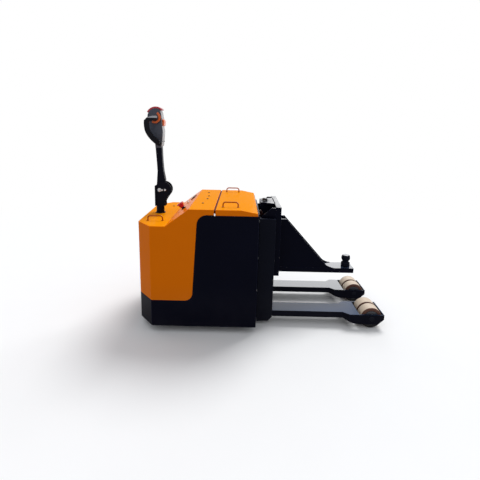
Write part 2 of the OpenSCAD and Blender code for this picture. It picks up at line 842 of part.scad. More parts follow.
module drive_hub() color("#6d7076") difference() {
    union() {
        rod(drive_d - 60, drive_s, drive_z, -12, 12);
        difference() {
            rod(drive_d - 60, drive_s, drive_z, 2 - drive_w / 2, drive_w / 2 - 2);
            rod(drive_d - 84, drive_s, drive_z, -drive_w, drive_w);
        }
        rod(70, drive_s, drive_z, 6 - drive_w / 2, drive_w / 2 - 2);
    }
    rod(40 + 2 * pin_fit, drive_s, drive_z, -1, drive_w);
}

module drive_tyre() color("#26282b") difference() {
    rod(drive_d, drive_s, drive_z, -drive_w / 2, drive_w / 2);
    rod(drive_d - 60, drive_s, drive_z, -drive_w, drive_w);
}

// Fork with its king pin, its wheel trailing behind
module castor_fork() color("#7b7e83") {
    wheel_s = drive_s + castor_trail;
    arm_y = castor_w / 2 + 4;
    top_z = castor_d + 8;
    from_front(drive_s, castor_y) {
        translate([0, 0, top_z]) cylinder(d = 64, h = castor_head_z - top_z - seat_gap);
        translate([0, 0, top_z]) cylinder(d = 20, h = castor_head_z + 36 - top_z);
    }
    from_front(drive_s - 32, castor_y - arm_y - 6, top_z)
        cube([castor_trail + 54, 2 * arm_y + 12, 8]);
    for (y = [castor_y - arm_y - 6, castor_y + arm_y]) across(y, y + 6) polygon([
        [drive_s - 28, top_z + 2], [wheel_s - 14, castor_z - 8], [wheel_s, castor_z - 15],
        [wheel_s + 14, castor_z - 8], [wheel_s + 20, top_z + 2]
    ]);
    rod(12, wheel_s, castor_z, castor_y - arm_y - 9, castor_y + arm_y + 9);
}

module castor_wheel() color("#5b4a3c") difference() {
    wheel_s = drive_s + castor_trail;
    union() {
        rod(castor_d, wheel_s, castor_z, castor_y - castor_w / 2, castor_y + castor_w / 2);
        rod(34, wheel_s, castor_z, castor_y - castor_w / 2 - 3, castor_y + castor_w / 2 + 3);
    }
    rod(12 + 2 * pin_fit, wheel_s, castor_z, castor_y - castor_w, castor_y + castor_w);
}

module load_pair(d, bore, inset = 0) for (k = [-1, 1]) {
    y = leg_y + k * (load_w + pair_gap) / 2;
    difference() {
        rod(d, axle_s, load_z, y - load_w / 2 + inset, y + load_w / 2 - inset);
        rod(bore, axle_s, load_z, y - load_w, y + load_w);
    }
}

module load_hubs() color("#6a5a4c") load_pair(hub_d, axle_d + 2 * pin_fit, 1);

module load_treads() color("#d7c6ac") load_pair(load_d, hub_d);

module carriage_plate() color("#141518") from_front(carriage_s, -carriage_w / 2, carriage_z0)
    cube([carriage_t, carriage_w, carriage_z1 - carriage_z0]);

// Side plates that reach into the mast, where the rollers sit
module carriage_sides() color("#1b1c20") both()
    across(side_plate_y - side_plate_t, side_plate_y) {
        back = mast_s + 12;
        polygon([
            [back, carriage_z0 + 10], [back, carriage_z1 - 69], [back + 72, carriage_z1 - 5],
            [carriage_s, carriage_z1 - 5], [carriage_s, carriage_z0 + 10]
        ]);
    }

module carriage_rollers() color("#8d9095") both()
    for (z = [carriage_z0 + 60, carriage_z0 + 200]) {
        rod(roller_d, roller_s, z, side_plate_y + 7, channel_in - 1);
        rod(30, roller_s, z, side_plate_y, side_plate_y + 7);
    }

// Shelf over the cylinder, with two webs down the carriage plate
module top_bracket() color("#1b1c20") {
    reach = carriage_s - top_bracket_s;
    under = top_bracket_z - top_bracket_t;
    from_front(top_bracket_s, 0, under) linear_extrude(top_bracket_t) polygon([
        [0, -top_bracket_w / 2], [reach, -top_bracket_root_w / 2],
        [reach, top_bracket_root_w / 2], [0, top_bracket_w / 2]
    ]);
    both() across(top_bracket_w / 2 - 12, top_bracket_w / 2) polygon([
        [top_bracket_s, under + 1], [carriage_s, under + 1], [carriage_s, under - 160],
        [carriage_s - 22, under - 160], [top_bracket_s, under - 30]
    ]);
}

module lift_rod() color("#d2d5d8") from_front(ram_s, 0, rod_foot_z)
    cylinder(d = rod_d, h = top_bracket_z - top_bracket_t - rod_foot_z);

// Side plates of the tow bracket: a straight slope that runs out in a curve
module hitch_webs() color("#15161a") both() across(tow_w / 2 - web_t, tow_w / 2) {
    toe_t = 4;
    slope_s = tow_s + 0.1 * tow_l;
    low_z = tow_z + toe_t + sweep_r * (1 - cos(web_a));
    low_s = slope_s + (web_z - low_z) / tan(web_a);
    end_s = low_s + sweep_r * sin(web_a);
    difference() {
        polygon([
            [tow_s, tow_z], [tow_s, web_z], [slope_s, web_z], [low_s, low_z], [end_s, low_z],
            [end_s, tow_z]
        ]);
        translate([end_s, tow_z + toe_t + sweep_r]) circle(sweep_r + 0.4);
    }
}

module hitch_plate() color("#15161a") {
    cut = 5;
    half = tow_w / 2;
    from_front(tow_s, 0, tow_z - tow_t) linear_extrude(tow_t) polygon([
        [0, -half], [tow_l - cut, -half], [tow_l, cut - half], [tow_l, half - cut],
        [tow_l - cut, half], [0, half]
    ]);
}

// Flat-topped tow ball on a neck over its collar
module hitch_ball() color("#2a2b2e") from_front(ball_s, 0, tow_z) {
    neck_r = 0.33 * ball_d;
    collar_r = 0.5 * ball_d;
    rotate_extrude() polygon([
        [0, 0], [collar_r, 0], [collar_r, 13], [collar_r - 3, 15], [collar_r, 17],
        [collar_r, 26], [neck_r, 35], [neck_r, ball_h], [0, ball_h]
    ]);
    difference() {
        translate([0, 0, ball_h]) sphere(d = ball_d);
        translate([-ball_d, -ball_d, ball_h + ball_flat]) cube(2 * ball_d);
    }
}

front_skirt();
left() side_panel();  // side_panel_left
side_panel();  // side_panel_right
rear_panel();
floor_pan();
drive_frame();
front_cover();
cross_bar();
battery();
mast_plate();
left() mast_channel();  // mast_channel_left
mast_channel();  // mast_channel_right
lift_cylinder();
left() leg();  // leg_left
leg();  // leg_right
leg_axles();
stop_stem();
stop_knob();
key_switch();
meter();
pull_handle(deck_handle_s, -deck_handle_y, deck_h);  // deck_handle
column_bush();
lid();
pull_handle(lid_s + lid_handle_s, -lid_handle_y, hood_h);  // lid_handle_left
pull_handle(lid_s + lid_handle_s, lid_handle_y, hood_h);  // lid_handle_right
steering_column();
hub_bracket();
hub_bolts();
tiller_arm();
tiller_head();
head_cover();
head_rocker();
belly_button();
thumb_wheels();
left() hand_guard();  // hand_guard_left
hand_guard();  // hand_guard_right
drive_housing();
drive_hub();
drive_tyre();
left() castor_fork();  // castor_fork_left
castor_fork();  // castor_fork_right
left() castor_wheel();  // castor_wheel_left
castor_wheel();  // castor_wheel_right
left() load_hubs();  // load_hubs_left
load_hubs();  // load_hubs_right
left() load_treads();  // load_treads_left
load_treads();  // load_treads_right
carriage_plate();
carriage_sides();
carriage_rollers();
top_bracket();
lift_rod();
hitch_webs();
hitch_plate();
hitch_ball();
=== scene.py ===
"""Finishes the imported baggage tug: folded edges, paint, rubber, bolts, tiller and stage."""

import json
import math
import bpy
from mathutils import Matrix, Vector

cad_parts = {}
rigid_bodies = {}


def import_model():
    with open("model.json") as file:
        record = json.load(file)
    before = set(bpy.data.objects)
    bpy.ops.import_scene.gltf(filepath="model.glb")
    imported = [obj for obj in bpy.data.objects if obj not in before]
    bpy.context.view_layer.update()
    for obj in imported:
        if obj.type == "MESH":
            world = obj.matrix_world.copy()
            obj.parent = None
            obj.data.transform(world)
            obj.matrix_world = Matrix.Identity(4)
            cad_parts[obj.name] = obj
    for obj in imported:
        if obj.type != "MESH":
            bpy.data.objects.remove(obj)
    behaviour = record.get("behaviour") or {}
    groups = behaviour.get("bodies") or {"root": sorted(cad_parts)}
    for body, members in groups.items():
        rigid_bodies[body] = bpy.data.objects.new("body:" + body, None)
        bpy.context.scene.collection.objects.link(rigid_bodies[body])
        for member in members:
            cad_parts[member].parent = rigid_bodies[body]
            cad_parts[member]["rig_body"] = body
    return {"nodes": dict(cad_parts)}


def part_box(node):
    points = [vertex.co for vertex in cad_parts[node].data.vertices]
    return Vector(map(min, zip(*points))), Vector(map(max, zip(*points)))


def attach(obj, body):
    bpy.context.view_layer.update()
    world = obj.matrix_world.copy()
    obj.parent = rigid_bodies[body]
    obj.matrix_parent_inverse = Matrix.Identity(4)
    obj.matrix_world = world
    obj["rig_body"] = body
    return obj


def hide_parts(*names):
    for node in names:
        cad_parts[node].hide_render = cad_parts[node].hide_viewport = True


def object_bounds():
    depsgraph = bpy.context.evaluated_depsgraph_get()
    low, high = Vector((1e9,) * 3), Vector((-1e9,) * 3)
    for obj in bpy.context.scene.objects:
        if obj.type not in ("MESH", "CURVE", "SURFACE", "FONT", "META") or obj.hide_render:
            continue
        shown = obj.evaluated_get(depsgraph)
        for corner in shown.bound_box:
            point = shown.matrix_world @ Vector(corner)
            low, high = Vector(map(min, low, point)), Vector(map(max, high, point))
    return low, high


bl_info = {
    "name": "Baggage Tug Finish",
    "version": (1, 0, 0),
    "blender": (4, 5, 0),
    "location": "3D View > Sidebar > Baggage Tug",
    "description": "Dresses an electric baggage tug with its paint, wheels, tiller and bolts",
    "category": "Add Mesh",
}

import bpy
from bpy.props import FloatProperty, FloatVectorProperty, IntProperty, PointerProperty
from mathutils import Matrix, Vector

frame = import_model()
CAD_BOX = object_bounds()


# Places in metres: S behind the tug's front face, Y from its middle, Z over the floor


FRONT = CAD_BOX[0][0]
SIDES = (-1, 1)
UP, DOWN, AHEAD, BACK = (0, 0, 1), (0, 0, -1), (-1, 0, 0), (1, 0, 0)

DECK_Z = 0.743
HOOD_Z = 0.859
DECK_SCREW = (0.144, 0.232)
HOOD_SCREWS = ((0.428, 0.246), (0.443, 0.088), (0.443, -0.027), (0.427, -0.196))
GROOVE_S, BAR_END_Y, BAR_Z = 0.524, 0.3965, 0.822
CONSOLE_S, CONSOLE_RUN = 0.205, 0.152
METER_UP, METER_Y = 0.134, 0.205

REAR_S, MAST_S, CARRIAGE_S = 0.808, 0.82, 0.97
LIFT_S, GLAND_Z, SHELF_Z = 0.869, 0.77, 0.852
WEB_INSIDE_Y, WEB_OUTSIDE_Y = 0.0545, 0.0655
BALL_S, TOW_UNDER_Z = 1.508, 0.319

COLUMN_SIDE_Y = 0.0315
PIVOT = (0.091, 0.039, 0.919)
PIVOT_PIN = (0.1085, 0.031, 0.9175)
GRIP_S, GRIP_FOOT_Y, GRIP_Z = 0.064, 0.0535, 1.428
# Height above which the hand guards' upper faces carry a painted highlight
GUARD_HIGHLIGHT_Z = 1.405
HEAD_RADIUS, HEAD_MIDDLE_S, HEAD_MIDDLE_Z = 0.158, 0.181, 1.394

DRIVE_S, DRIVE_Z = 0.2, 0.125
CASTOR_S, CASTOR_Y, CASTOR_Z = 0.235, 0.282, 0.0625
LOAD_S, LOAD_Y, LOAD_Z = 1.632, 0.199, 0.075


# Settings


def colour_prop(name, description, default):
    """A colour that the user can set."""
    return FloatVectorProperty(
        name=name, description=description, default=default, subtype="COLOR", size=3, min=0.0,
        max=1.0,
    )


def length_prop(name, description, default):
    """A length in metres that the user can set."""
    return FloatProperty(
        name=name, description=description, default=default, unit="LENGTH", min=-20.0, max=20.0
    )


class TugColours(bpy.types.PropertyGroup):
    """Colours of the paints, plastics and treads, and the colours of painted sunlight and painted
    sky reflections on tops.
    """

    orange: colour_prop("Orange", "Gloss paint of the hood and the lid", (0.87, 0.192, 0.003))
    black: colour_prop("Black", "Gloss paint of the body and the legs", (0.0035, 0.004, 0.011))
    frame: colour_prop("Frame", "Satin paint of the mast and the frame", (0.006, 0.007, 0.014))
    ram: colour_prop("Ram", "Primer on the lift cylinder", (0.1, 0.028, 0.022))
    bare: colour_prop("Bare metal", "Steel where paint is chipped", (0.32, 0.31, 0.3))
    dust: colour_prop("Dust", "Road dust low on the tug", (0.24, 0.22, 0.2))
    tread: colour_prop("Tread", "Load wheel tread", (0.62, 0.5, 0.38))
    tread_side: colour_prop("Tread side", "Side of the load wheels", (0.11, 0.045, 0.03))
    rubber: colour_prop("Rubber", "Drive wheel's tyre", (0.022, 0.022, 0.024))
    knob: colour_prop("Knob", "Stop knob and belly button", (0.56, 0.008, 0.03))
    accent: colour_prop("Accent", "Orange plastic of the tiller head", (0.84, 0.15, 0.022))
    head: colour_prop("Head", "Dark grey plastic of the tiller head", (0.085, 0.093, 0.12))
    pale: colour_prop("Pale", "Light grey plastic of the head's cover", (0.27, 0.275, 0.29))
    # Painted sunlight: a yellower orange for the flat tops of the hood and the lid, in place of the
    # sun on them.
    painted_sunlit_orange: colour_prop("Sunlit orange", "Flat tops of the hood and the lid", (0.9, 0.3, 0.004))
    # Painted sky reflection: a bluish black for tops that face the sky.
    far_leg_painted_sky: colour_prop("Far leg's top", "Black tops that face the sky", (0.018, 0.026, 0.05))
    # Painted sky reflection: a bluer colour for the near leg's top.
    near_leg_painted_sky: colour_prop("Near leg's top", "Top of the near leg", (0.016, 0.038, 0.095))


class TugSizes(bpy.types.PropertyGroup):
    """Sizes that the finish adds."""

    fold: length_prop("Fold", "Radius of a folded sheet's outer edge", 0.003)
    plate_edge: length_prop("Plate edge", "Ground edge of a heavy plate", 0.0015)
    fine_edge: length_prop("Fine edge", "Edge of a thin rod or barrel", 0.0006)
    stem_edge: length_prop("Stem edge", "Edge of the stop knob's stem", 0.001)
    small_edge: length_prop("Small edge", "Edge of the tow ball and the meter", 0.0012)
    knob_edge: length_prop("Knob edge", "Edge of a knob or a cover", 0.002)
    pin_edge: length_prop("Pin edge", "Edge of the tiller's pivot pins", 0.0025)
    button_edge: length_prop("Button edge", "Edge of the head's buttons", 0.003)
    cast_edge: length_prop("Cast edge", "Edge of a moulded or cast piece", 0.004)
    guard_edge: length_prop("Guard edge", "Round edge of the hand guards", 0.0065)
    tread_edge: length_prop("Tread edge", "Worn edge of a load wheel's tread", 0.007)
    edge_steps: IntProperty(
        name="Edge steps", description="Facets across a rounded edge", default=3, min=1, max=6
    )


class TugStage(bpy.types.PropertyGroup):
    """Camera and lights."""

    lens: FloatProperty(name="Lens", description="Focal length", default=26.09, unit="CAMERA")
    camera_x: length_prop("Camera X", "Camera's place along the tug", -0.1763)
    camera_distance: length_prop("Camera distance", "Distance from the tug's middle", 2.552)
    camera_z: length_prop("Camera height", "Height of the camera over the floor", 1.340)
    tilt: FloatProperty(
        name="Tilt", description="Downward tilt", default=math.radians(11.1), subtype="ANGLE"
    )
    roll: FloatProperty(
        name="Roll", description="Turn about the view", default=math.radians(1.32), subtype="ANGLE"
    )
    shift: FloatProperty(
        name="Shift", description="Upward shift of the frame", default=-38.5 / 480
    )
    sky: FloatProperty(
        name="Sky", description="Strength of the even light", default=0.62, min=0.0, max=2.0
    )
    sun: FloatProperty(
        name="Sun", description="Strength of the soft light from above", default=1.9, min=0.0,
        max=5.0,
    )
    rim: FloatProperty(
        name="Rim lamp", description="Power of the lamp behind the tug", default=18.0, unit="POWER"
    )


# Materials


def add_node(tree, kind, **values):
    """Adds a shader node and sets its properties and its sockets by name."""
    node = tree.nodes.new(kind)
    for name, value in values.items():
        if hasattr(node, name):
            setattr(node, name, value)
        else:
            node.inputs[name.replace("_", " ").title()].default_value = value
    return node


def ranged(tree, source, low, high, from_low=0.0, from_high=1.0):
    """Maps a value to another range."""
    node = add_node(
        tree, "ShaderNodeMapRange", from_min=from_low, from_max=from_high, to_min=low, to_max=high
    )
    tree.links.new(source, node.inputs["Value"])
    return node.outputs["Result"]


def mixed(tree, factor, first, second):
    """Mixes two colours, each a socket or an RGB triple."""
    node = add_node(tree, "ShaderNodeMix", data_type="RGBA")
    tree.links.new(factor, node.inputs["Factor"])
    for socket, value in ((node.inputs[6], first), (node.inputs[7], second)):
        if isinstance(value, bpy.types.NodeSocket):
            tree.links.new(value, socket)
        else:
            socket.default_value = (*value, 1.0)
    return node.outputs[2]


def scaled(colour, factor):
    """A colour made lighter or darker."""
    return tuple(min(1.0, c * factor) for c in colour)


def make_finish(
    name, colour, roughness, metallic=0.0, coat=0.0, specular=0.5, spread=0.1, patch=4.0,
    grain=300.0, bump=0.02, dust=0.0, dust_top=0.35, low_painted_shade=None, stretch=(1.0, 1.0, 1.0),
    chips=0.0, under=None,
):
    """A finish whose colour and gloss vary, with chips and with dust that thins upwards.

    patch and grain are the scales of the broad and the fine pattern, spread is how far the
    colour varies, and under takes the place of bare metal. A colour given in place of road
    dust makes the fade towards the bottom a painted shade instead of dust.
    """
    colours = bpy.context.scene.tug_colours
    material = bpy.data.materials.new(name)
    material.use_nodes = True
    tree = material.node_tree
    shader = tree.nodes["Principled BSDF"]
    shader.inputs["Metallic"].default_value = metallic
    shader.inputs["Specular IOR Level"].default_value = specular
    shader.inputs["Coat Weight"].default_value = coat
    shader.inputs["Coat Roughness"].default_value = 0.04
    place = tree.nodes.new("ShaderNodeTexCoord").outputs["Object"]
    grid = add_node(tree, "ShaderNodeMapping", scale=stretch)
    tree.links.new(place, grid.inputs["Vector"])
    broad = add_node(tree, "ShaderNodeTexNoise", scale=patch, detail=5.0, roughness=0.6)
    fine = add_node(tree, "ShaderNodeTexNoise", scale=grain, detail=2.0)
    for noise in (broad, fine):
        tree.links.new(grid.outputs["Vector"], noise.inputs["Vector"])
    darker, lighter = scaled(colour, 1 - spread), scaled(colour, 1 + spread)
    tone = mixed(tree, broad.outputs["Fac"], darker, lighter)
    gloss = ranged(tree, broad.outputs["Fac"], roughness * 0.85, roughness * 1.2, 0.3, 0.7)
    if chips > 0:
        spots = add_node(tree, "ShaderNodeTexNoise", scale=70.0, detail=6.0, roughness=0.7)
        tree.links.new(place, spots.inputs["Vector"])
        chipped = ranged(tree, spots.outputs["Fac"], 0.0, 1.0, 1.0 - chips, 1.02 - chips)
        tone = mixed(tree, chipped, tone, under or tuple(colours.bare))
    if dust > 0:
        parts = tree.nodes.new("ShaderNodeSeparateXYZ")
        tree.links.new(place, parts.inputs["Vector"])
        low = ranged(tree, parts.outputs["Z"], dust, 0.0, 0.02, dust_top)
        speckle = ranged(tree, broad.outputs["Fac"], 0.2, 1.0, 0.35, 0.65)
        amount = add_node(tree, "ShaderNodeMath", operation="MULTIPLY")
        tree.links.new(low, amount.inputs[0])
        tree.links.new(speckle, amount.inputs[1])
        tone = mixed(tree, amount.outputs[0], tone, low_painted_shade or tuple(colours.dust))
    tree.links.new(tone, shader.inputs["Base Color"])
    tree.links.new(gloss, shader.inputs["Roughness"])
    if bump > 0:
        relief = add_node(tree, "ShaderNodeBump", strength=bump, distance=0.001)
        tree.links.new(fine.outputs["Fac"], relief.inputs["Height"])
        tree.links.new(relief.outputs["Normal"], shader.inputs["Normal"])
    material.diffuse_color = (*colour, 1.0)
    return material


def paint_materials(colours):
    """The paints, each with its worn edges, and the finishes that paint sunlight, the sky's
    reflection and highlights on tops, and shade on the handles and the groove's bar.
    """
    orange = {"patch": 3.0, "grain": 160.0, "spread": 0.04, "bump": 0.012, "dust": 0.08}
    black = {
        "specular": 0.02, "patch": 3.0, "grain": 180.0, "spread": 0.25, "bump": 0.012, "dust": 0.03
    }
    frame_paint = {"specular": 0.03, "spread": 0.25, "bump": 0.03, "dust": 0.04}
    # Settings shared by the finishes that paint light on tops
    top = {"patch": 5.0, "spread": 0.25, "bump": 0.02}
    # A paler frame colour, for worn edges and for the painted highlights on the mast's and the
    # shelf's tops.
    pale_frame_wear_and_highlight = scaled(colours.frame, 2.0)
    return {
        "orange": make_finish("orange_paint", colours.orange, 0.2, specular=0.008, **orange),
        "orange_edge": make_finish(
            "orange_paint_edge", scaled(colours.orange, 1.04), 0.24, specular=0.008, chips=0.3,
            under=(0.2, 0.05, 0.01), **orange,
        ),
        # Painted sunlight: the flat tops get the yellower orange and almost no gloss.
        "orange_painted_sunlight": make_finish(
            "orange_paint_painted_sunlight", colours.painted_sunlit_orange, 0.2, specular=0.001, **orange
        ),
        # Painted shade: the handles get the orange at half brightness, standing in for the shade on
        # their rods.
        "handle": make_finish(
            "handle_paint_shaded", scaled(colours.orange, 0.5), 0.3, specular=0.2
        ),
        "black": make_finish("black_paint", colours.black, 0.16, **black),
        "black_edge": make_finish(
            "black_paint_edge", scaled(colours.black, 2.0), 0.24, chips=0.36, **black
        ),
        # Painted sky reflection: a bluish black with strong gloss on flat tops of the far leg, the
        # tow bracket and its ball.
        "black_painted_sky_glint": make_finish(
            "black_paint_sky_glint", colours.far_leg_painted_sky, 0.16, specular=0.9, **top
        ),
        # Painted sky reflection: the near leg's top gets a dark blue.
        "blue_painted_sky": make_finish("near_leg_top_painted_sky", colours.near_leg_painted_sky, 0.2, specular=0.14, **top),
        "frame": make_finish("frame_paint", colours.frame, 0.28, **frame_paint),
        "frame_edge": make_finish(
            "frame_paint_edge", pale_frame_wear_and_highlight, 0.34, chips=0.38, **frame_paint
        ),
        # Painted highlights: flat tops of the mast, the carriage and the shelf get a paler,
        # glossier frame paint.
        "frame_painted_highlight": make_finish("frame_paint_highlight", pale_frame_wear_and_highlight, 0.3, specular=0.11, **top),
        "shelf_painted_highlight": make_finish("shelf_paint_highlight", pale_frame_wear_and_highlight, 0.3, specular=0.35, **top),
        "ram": make_finish("ram_primer", colours.ram, 0.45, spread=0.2, bump=0.04),
        # Painted shade: the bar under the groove gets a dark brown for the shade inside the groove.
        "bar": make_finish(
            "groove_bar_painted_shade", (0.075, 0.018, 0.008), 0.5, specular=0.05, spread=0.3, patch=20.0
        ),
        "motor": make_finish(
            "motor_paint", (0.05, 0.055, 0.062), 0.45, spread=0.2, patch=15.0, bump=0.05
        ),
    }


def metal_materials():
    """The bare metals."""
    return {
        "steel": make_finish(
            "turned_steel", (0.42, 0.42, 0.43), 0.34, metallic=1.0, spread=0.12, patch=18.0
        ),
        "bright": make_finish(
            "bright_bolts", (0.75, 0.75, 0.74), 0.26, metallic=1.0, spread=0.08, patch=60.0
        ),
        "dark_bolt": make_finish(
            "black_bolts", (0.03, 0.03, 0.034), 0.4, metallic=0.7, spread=0.2, patch=60.0
        ),
        "chrome": make_finish(
            "chrome", (0.82, 0.83, 0.84), 0.09, metallic=1.0, spread=0.03, bump=0.0
        ),
        "lead": make_finish(
            "lead_straps", (0.3, 0.3, 0.33), 0.5, metallic=0.8, spread=0.2, patch=40.0, bump=0.1
        ),
        "bearing": make_finish(
            "bearing_cap", (0.05, 0.052, 0.06), 0.42, metallic=0.6, spread=0.2, bump=0.06
        ),
    }


def plastic_materials(colours):
    """The plastics of the tiller, the console and the battery."""
    moulded = {"grain": 900.0}
    return {
        "plastic": make_finish(
            "black_plastic", (0.008, 0.008, 0.011), 0.3, specular=0.05, spread=0.12, bump=0.06,
            **moulded,
        ),
        "guard": make_finish(
            "guard_plastic", (0.006, 0.007, 0.012), 0.2, specular=0.08, spread=0.12, **moulded
        ),
        # Painted highlight: a pale grey gloss that stands in for the sun's glint on the guards'
        # upper bars.
        "guard_painted_highlight": make_finish(
            "guard_gloss_highlight", (0.28, 0.28, 0.3), 0.16, specular=1.0, bump=0.01
        ),
        "head": make_finish(
            "head_plastic", colours.head, 0.4, specular=0.15, bump=0.12, **moulded
        ),
        "pale": make_finish(
            "pale_plastic", colours.pale, 0.36, spread=0.05, bump=0.08, **moulded
        ),
        "accent": make_finish(
            "accent_plastic", colours.accent, 0.35, spread=0.06, bump=0.06, **moulded
        ),
        "red": make_finish("red_plastic", colours.knob, 0.22, spread=0.06, coat=0.2, bump=0.01),
        "glass": make_finish(
            "meter_glass", (0.004, 0.005, 0.007), 0.12, specular=0.02, spread=0.05, bump=0.0
        ),
        "segment": make_finish(
            "meter_segments", (0.02, 0.06, 0.02), 0.4, specular=0.1, patch=80.0
        ),
        "battery": make_finish(
            "battery_case", (0.03, 0.035, 0.042), 0.5, spread=0.2, patch=12.0, bump=0.06
        ),
        "cell": make_finish(
            "cell_lid", (0.16, 0.17, 0.18), 0.5, spread=0.15, patch=14.0, bump=0.06
        ),
    }


def rubber_materials(colours):
    """The grips, the drive wheel's tyre and the wheels' treads."""
    return {
        "grip": make_finish(
            "grip_rubber", (0.02, 0.02, 0.022), 0.6, spread=0.2, grain=700.0, bump=0.2
        ),
        "rubber": make_finish(
            "drive_rubber", colours.rubber, 0.72, spread=0.3, bump=0.2, dust=0.5, dust_top=0.3
        ),
        "tread": make_finish(
            "load_tread", colours.tread, 0.5, spread=0.14, patch=14.0, grain=260.0, bump=0.12,
            stretch=(1.0, 3.5, 1.0), dust=0.3, dust_top=0.16,
        ),
        # Painted shade: a near-black colour given in place of road dust, with a strong fade,
        # darkens the lowest part of the wheels' sides where they stand in shade near the floor.
        "tread_side": make_finish(
            "tread_side", colours.tread_side, 0.4, specular=0.2, spread=0.2, patch=25.0, bump=0.05,
            dust=4.0, dust_top=0.08, low_painted_shade=(0.012, 0.011, 0.012),
        ),
    }


# Modelling helpers


SHARP_EDGE = math.radians(30)


def at(s, y, z):
    """A point given by its distance behind the tug's front face."""
    return Vector((FRONT + s, y, z))


def twin_lines(start, end):
    """The same line on both sides of the tug's middle, from one (S, Y, Z) to another."""
    return [tuple(at(s, side * y, z) for s, y, z in (start, end)) for side in SIDES]


def facing(point, direction):
    """A place at a point, its Z along a direction."""
    aim = Vector(direction).to_track_quat("Z", "Y").to_matrix().to_4x4()
    return Matrix.Translation(point) @ aim


def shifted(points):
    """A place at each point, unturned."""
    return [Matrix.Translation(point) for point in points]


def bolt_circle(centre, radius, way, first=0.0):
    """Six places on a circle about an axis across the tug, with Z to one side."""
    places = []
    for step in range(6):
        turn = math.radians(60 * step + first)
        out = radius * Vector((math.cos(turn), 0, math.sin(turn)))
        places.append(facing(centre + out, (0, way, 0)))
    return places


def deselect_all():
    """Leaves nothing selected and no object in edit mode."""
    if bpy.context.object and bpy.context.object.mode != "OBJECT":
        bpy.ops.object.mode_set(mode="OBJECT")
    bpy.ops.object.select_all(action="DESELECT")


def make_active(piece):
    """Selects one piece alone."""
    deselect_all()
    piece.select_set(True)
    bpy.context.view_layer.objects.active = piece


def apply_modifier(piece, kind, **values):
    """Adds a modifier with these values and applies it."""
    modifier = piece.modifiers.new(kind.title(), kind)
    for name, value in values.items():
        setattr(modifier, name, value)
    make_active(piece)
    bpy.ops.object.modifier_apply(modifier=modifier.name)


def smooth(piece, angle=38.0):
    """Smooth shading over edges that turn by less than an angle in degrees."""
    make_active(piece)
    bpy.ops.object.shade_smooth_by_angle(angle=math.radians(angle))


def round_edges(piece, width, steps=None):
    """Rounds a piece's sharp edges; its last paint goes on them."""
    sizes = bpy.context.scene.tug_sizes
    apply_modifier(
        piece, "BEVEL", width=width, segments=steps or sizes.edge_steps, limit_method="ANGLE",
        angle_limit=SHARP_EDGE, material=len(piece.data.materials) - 1,
    )
    smooth(piece)
    apply_modifier(piece, "WEIGHTED_NORMAL", keep_sharp=True)


def node_copy(node):
    """A merged copy of a CAD node's mesh, as a piece of its own."""
    piece = bpy.data.objects.new(node + "_finish", frame["nodes"][node].data.copy())
    piece.data.materials.clear()
    bpy.context.scene.collection.objects.link(piece)
    make_active(piece)
    bpy.ops.object.mode_set(mode="EDIT")
    bpy.ops.mesh.select_all(action="SELECT")
    bpy.ops.mesh.remove_doubles(threshold=1e-5)
    bpy.ops.mesh.dissolve_limited(angle_limit=math.radians(0.4))
    bpy.ops.object.mode_set(mode="OBJECT")
    return piece


def paint(piece, *names):
    """Gives a piece its finishes."""
    piece.data.materials.clear()
    for name in names:
        piece.data.materials.append(MATERIALS[name])


def seat(piece, node, stands_for=False):
    """Lets a piece ride with a node's body and, if asked, stand for the node."""
    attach(piece, frame["nodes"][node]["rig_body"])
    if stands_for:
        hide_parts(node)


def soften(nodes, paints, width, steps=None, top=None):
    """Copies of CAD nodes with rounded edges stand for them; top is a finish that paints light on
    flat tops.
    """
    pieces = []
    for node in nodes:
        piece = node_copy(node)
        paint(piece, *paints)
        round_edges(piece, width, steps)
        if top:
            paint_light_on_tops(piece, top)
        seat(piece, node, stands_for=True)
        pieces.append(piece)
    return pieces


def paint_light_on_tops(piece, top, lean=0.97, foot=0.0):
    """Gives the faces that look up and lie above the foot's height a finish of their own, with
    painted light.
    """
    piece.data.materials.append(MATERIALS[top])
    for face in piece.data.polygons:
        if face.normal.z > lean and face.center.z > foot:
            face.material_index = len(piece.data.materials) - 1


def add_primitive(kind, **values):
    """Adds a mesh primitive that alone is selected."""
    deselect_all()
    getattr(bpy.ops.mesh, "primitive_" + kind + "_add")(**values)
    return bpy.context.object


def choose_faces(piece, test):
    """Enters edit mode with only the faces selected that pass a test of their centre and normal."""
    make_active(piece)
    bpy.ops.object.mode_set(mode="EDIT")
    bpy.ops.mesh.select_mode(type="FACE")
    bpy.ops.mesh.select_all(action="DESELECT")
    bpy.ops.object.mode_set(mode="OBJECT")
    for face in piece.data.polygons:
        face.select = test(face.center, face.normal)
    bpy.ops.object.mode_set(mode="EDIT")


def looks_up(centre, normal):
    """Passes faces that look up."""
    return normal.z > 0.9


def step_in(piece, test, thickness, depth=0.0):
    """Insets the chosen faces and raises or sinks what is inside."""
    choose_faces(piece, test)
    bpy.ops.mesh.inset(thickness=thickness, depth=depth)
    bpy.ops.object.mode_set(mode="OBJECT")


def settle(piece, place=None):
    """Moves a piece to its place and leaves its object at the origin."""
    if place is not None:
        piece.matrix_world = place
    make_active(piece)
    bpy.ops.object.transform_apply(location=True, rotation=True, scale=True)
    return piece


def joined(parts):
    """Joins pieces into the first of them."""
    deselect_all()
    for part in parts:
        part.select_set(True)
    bpy.context.view_layer.objects.active = parts[0]
    if len(parts) > 1:
        bpy.ops.object.join()
    return parts[0]


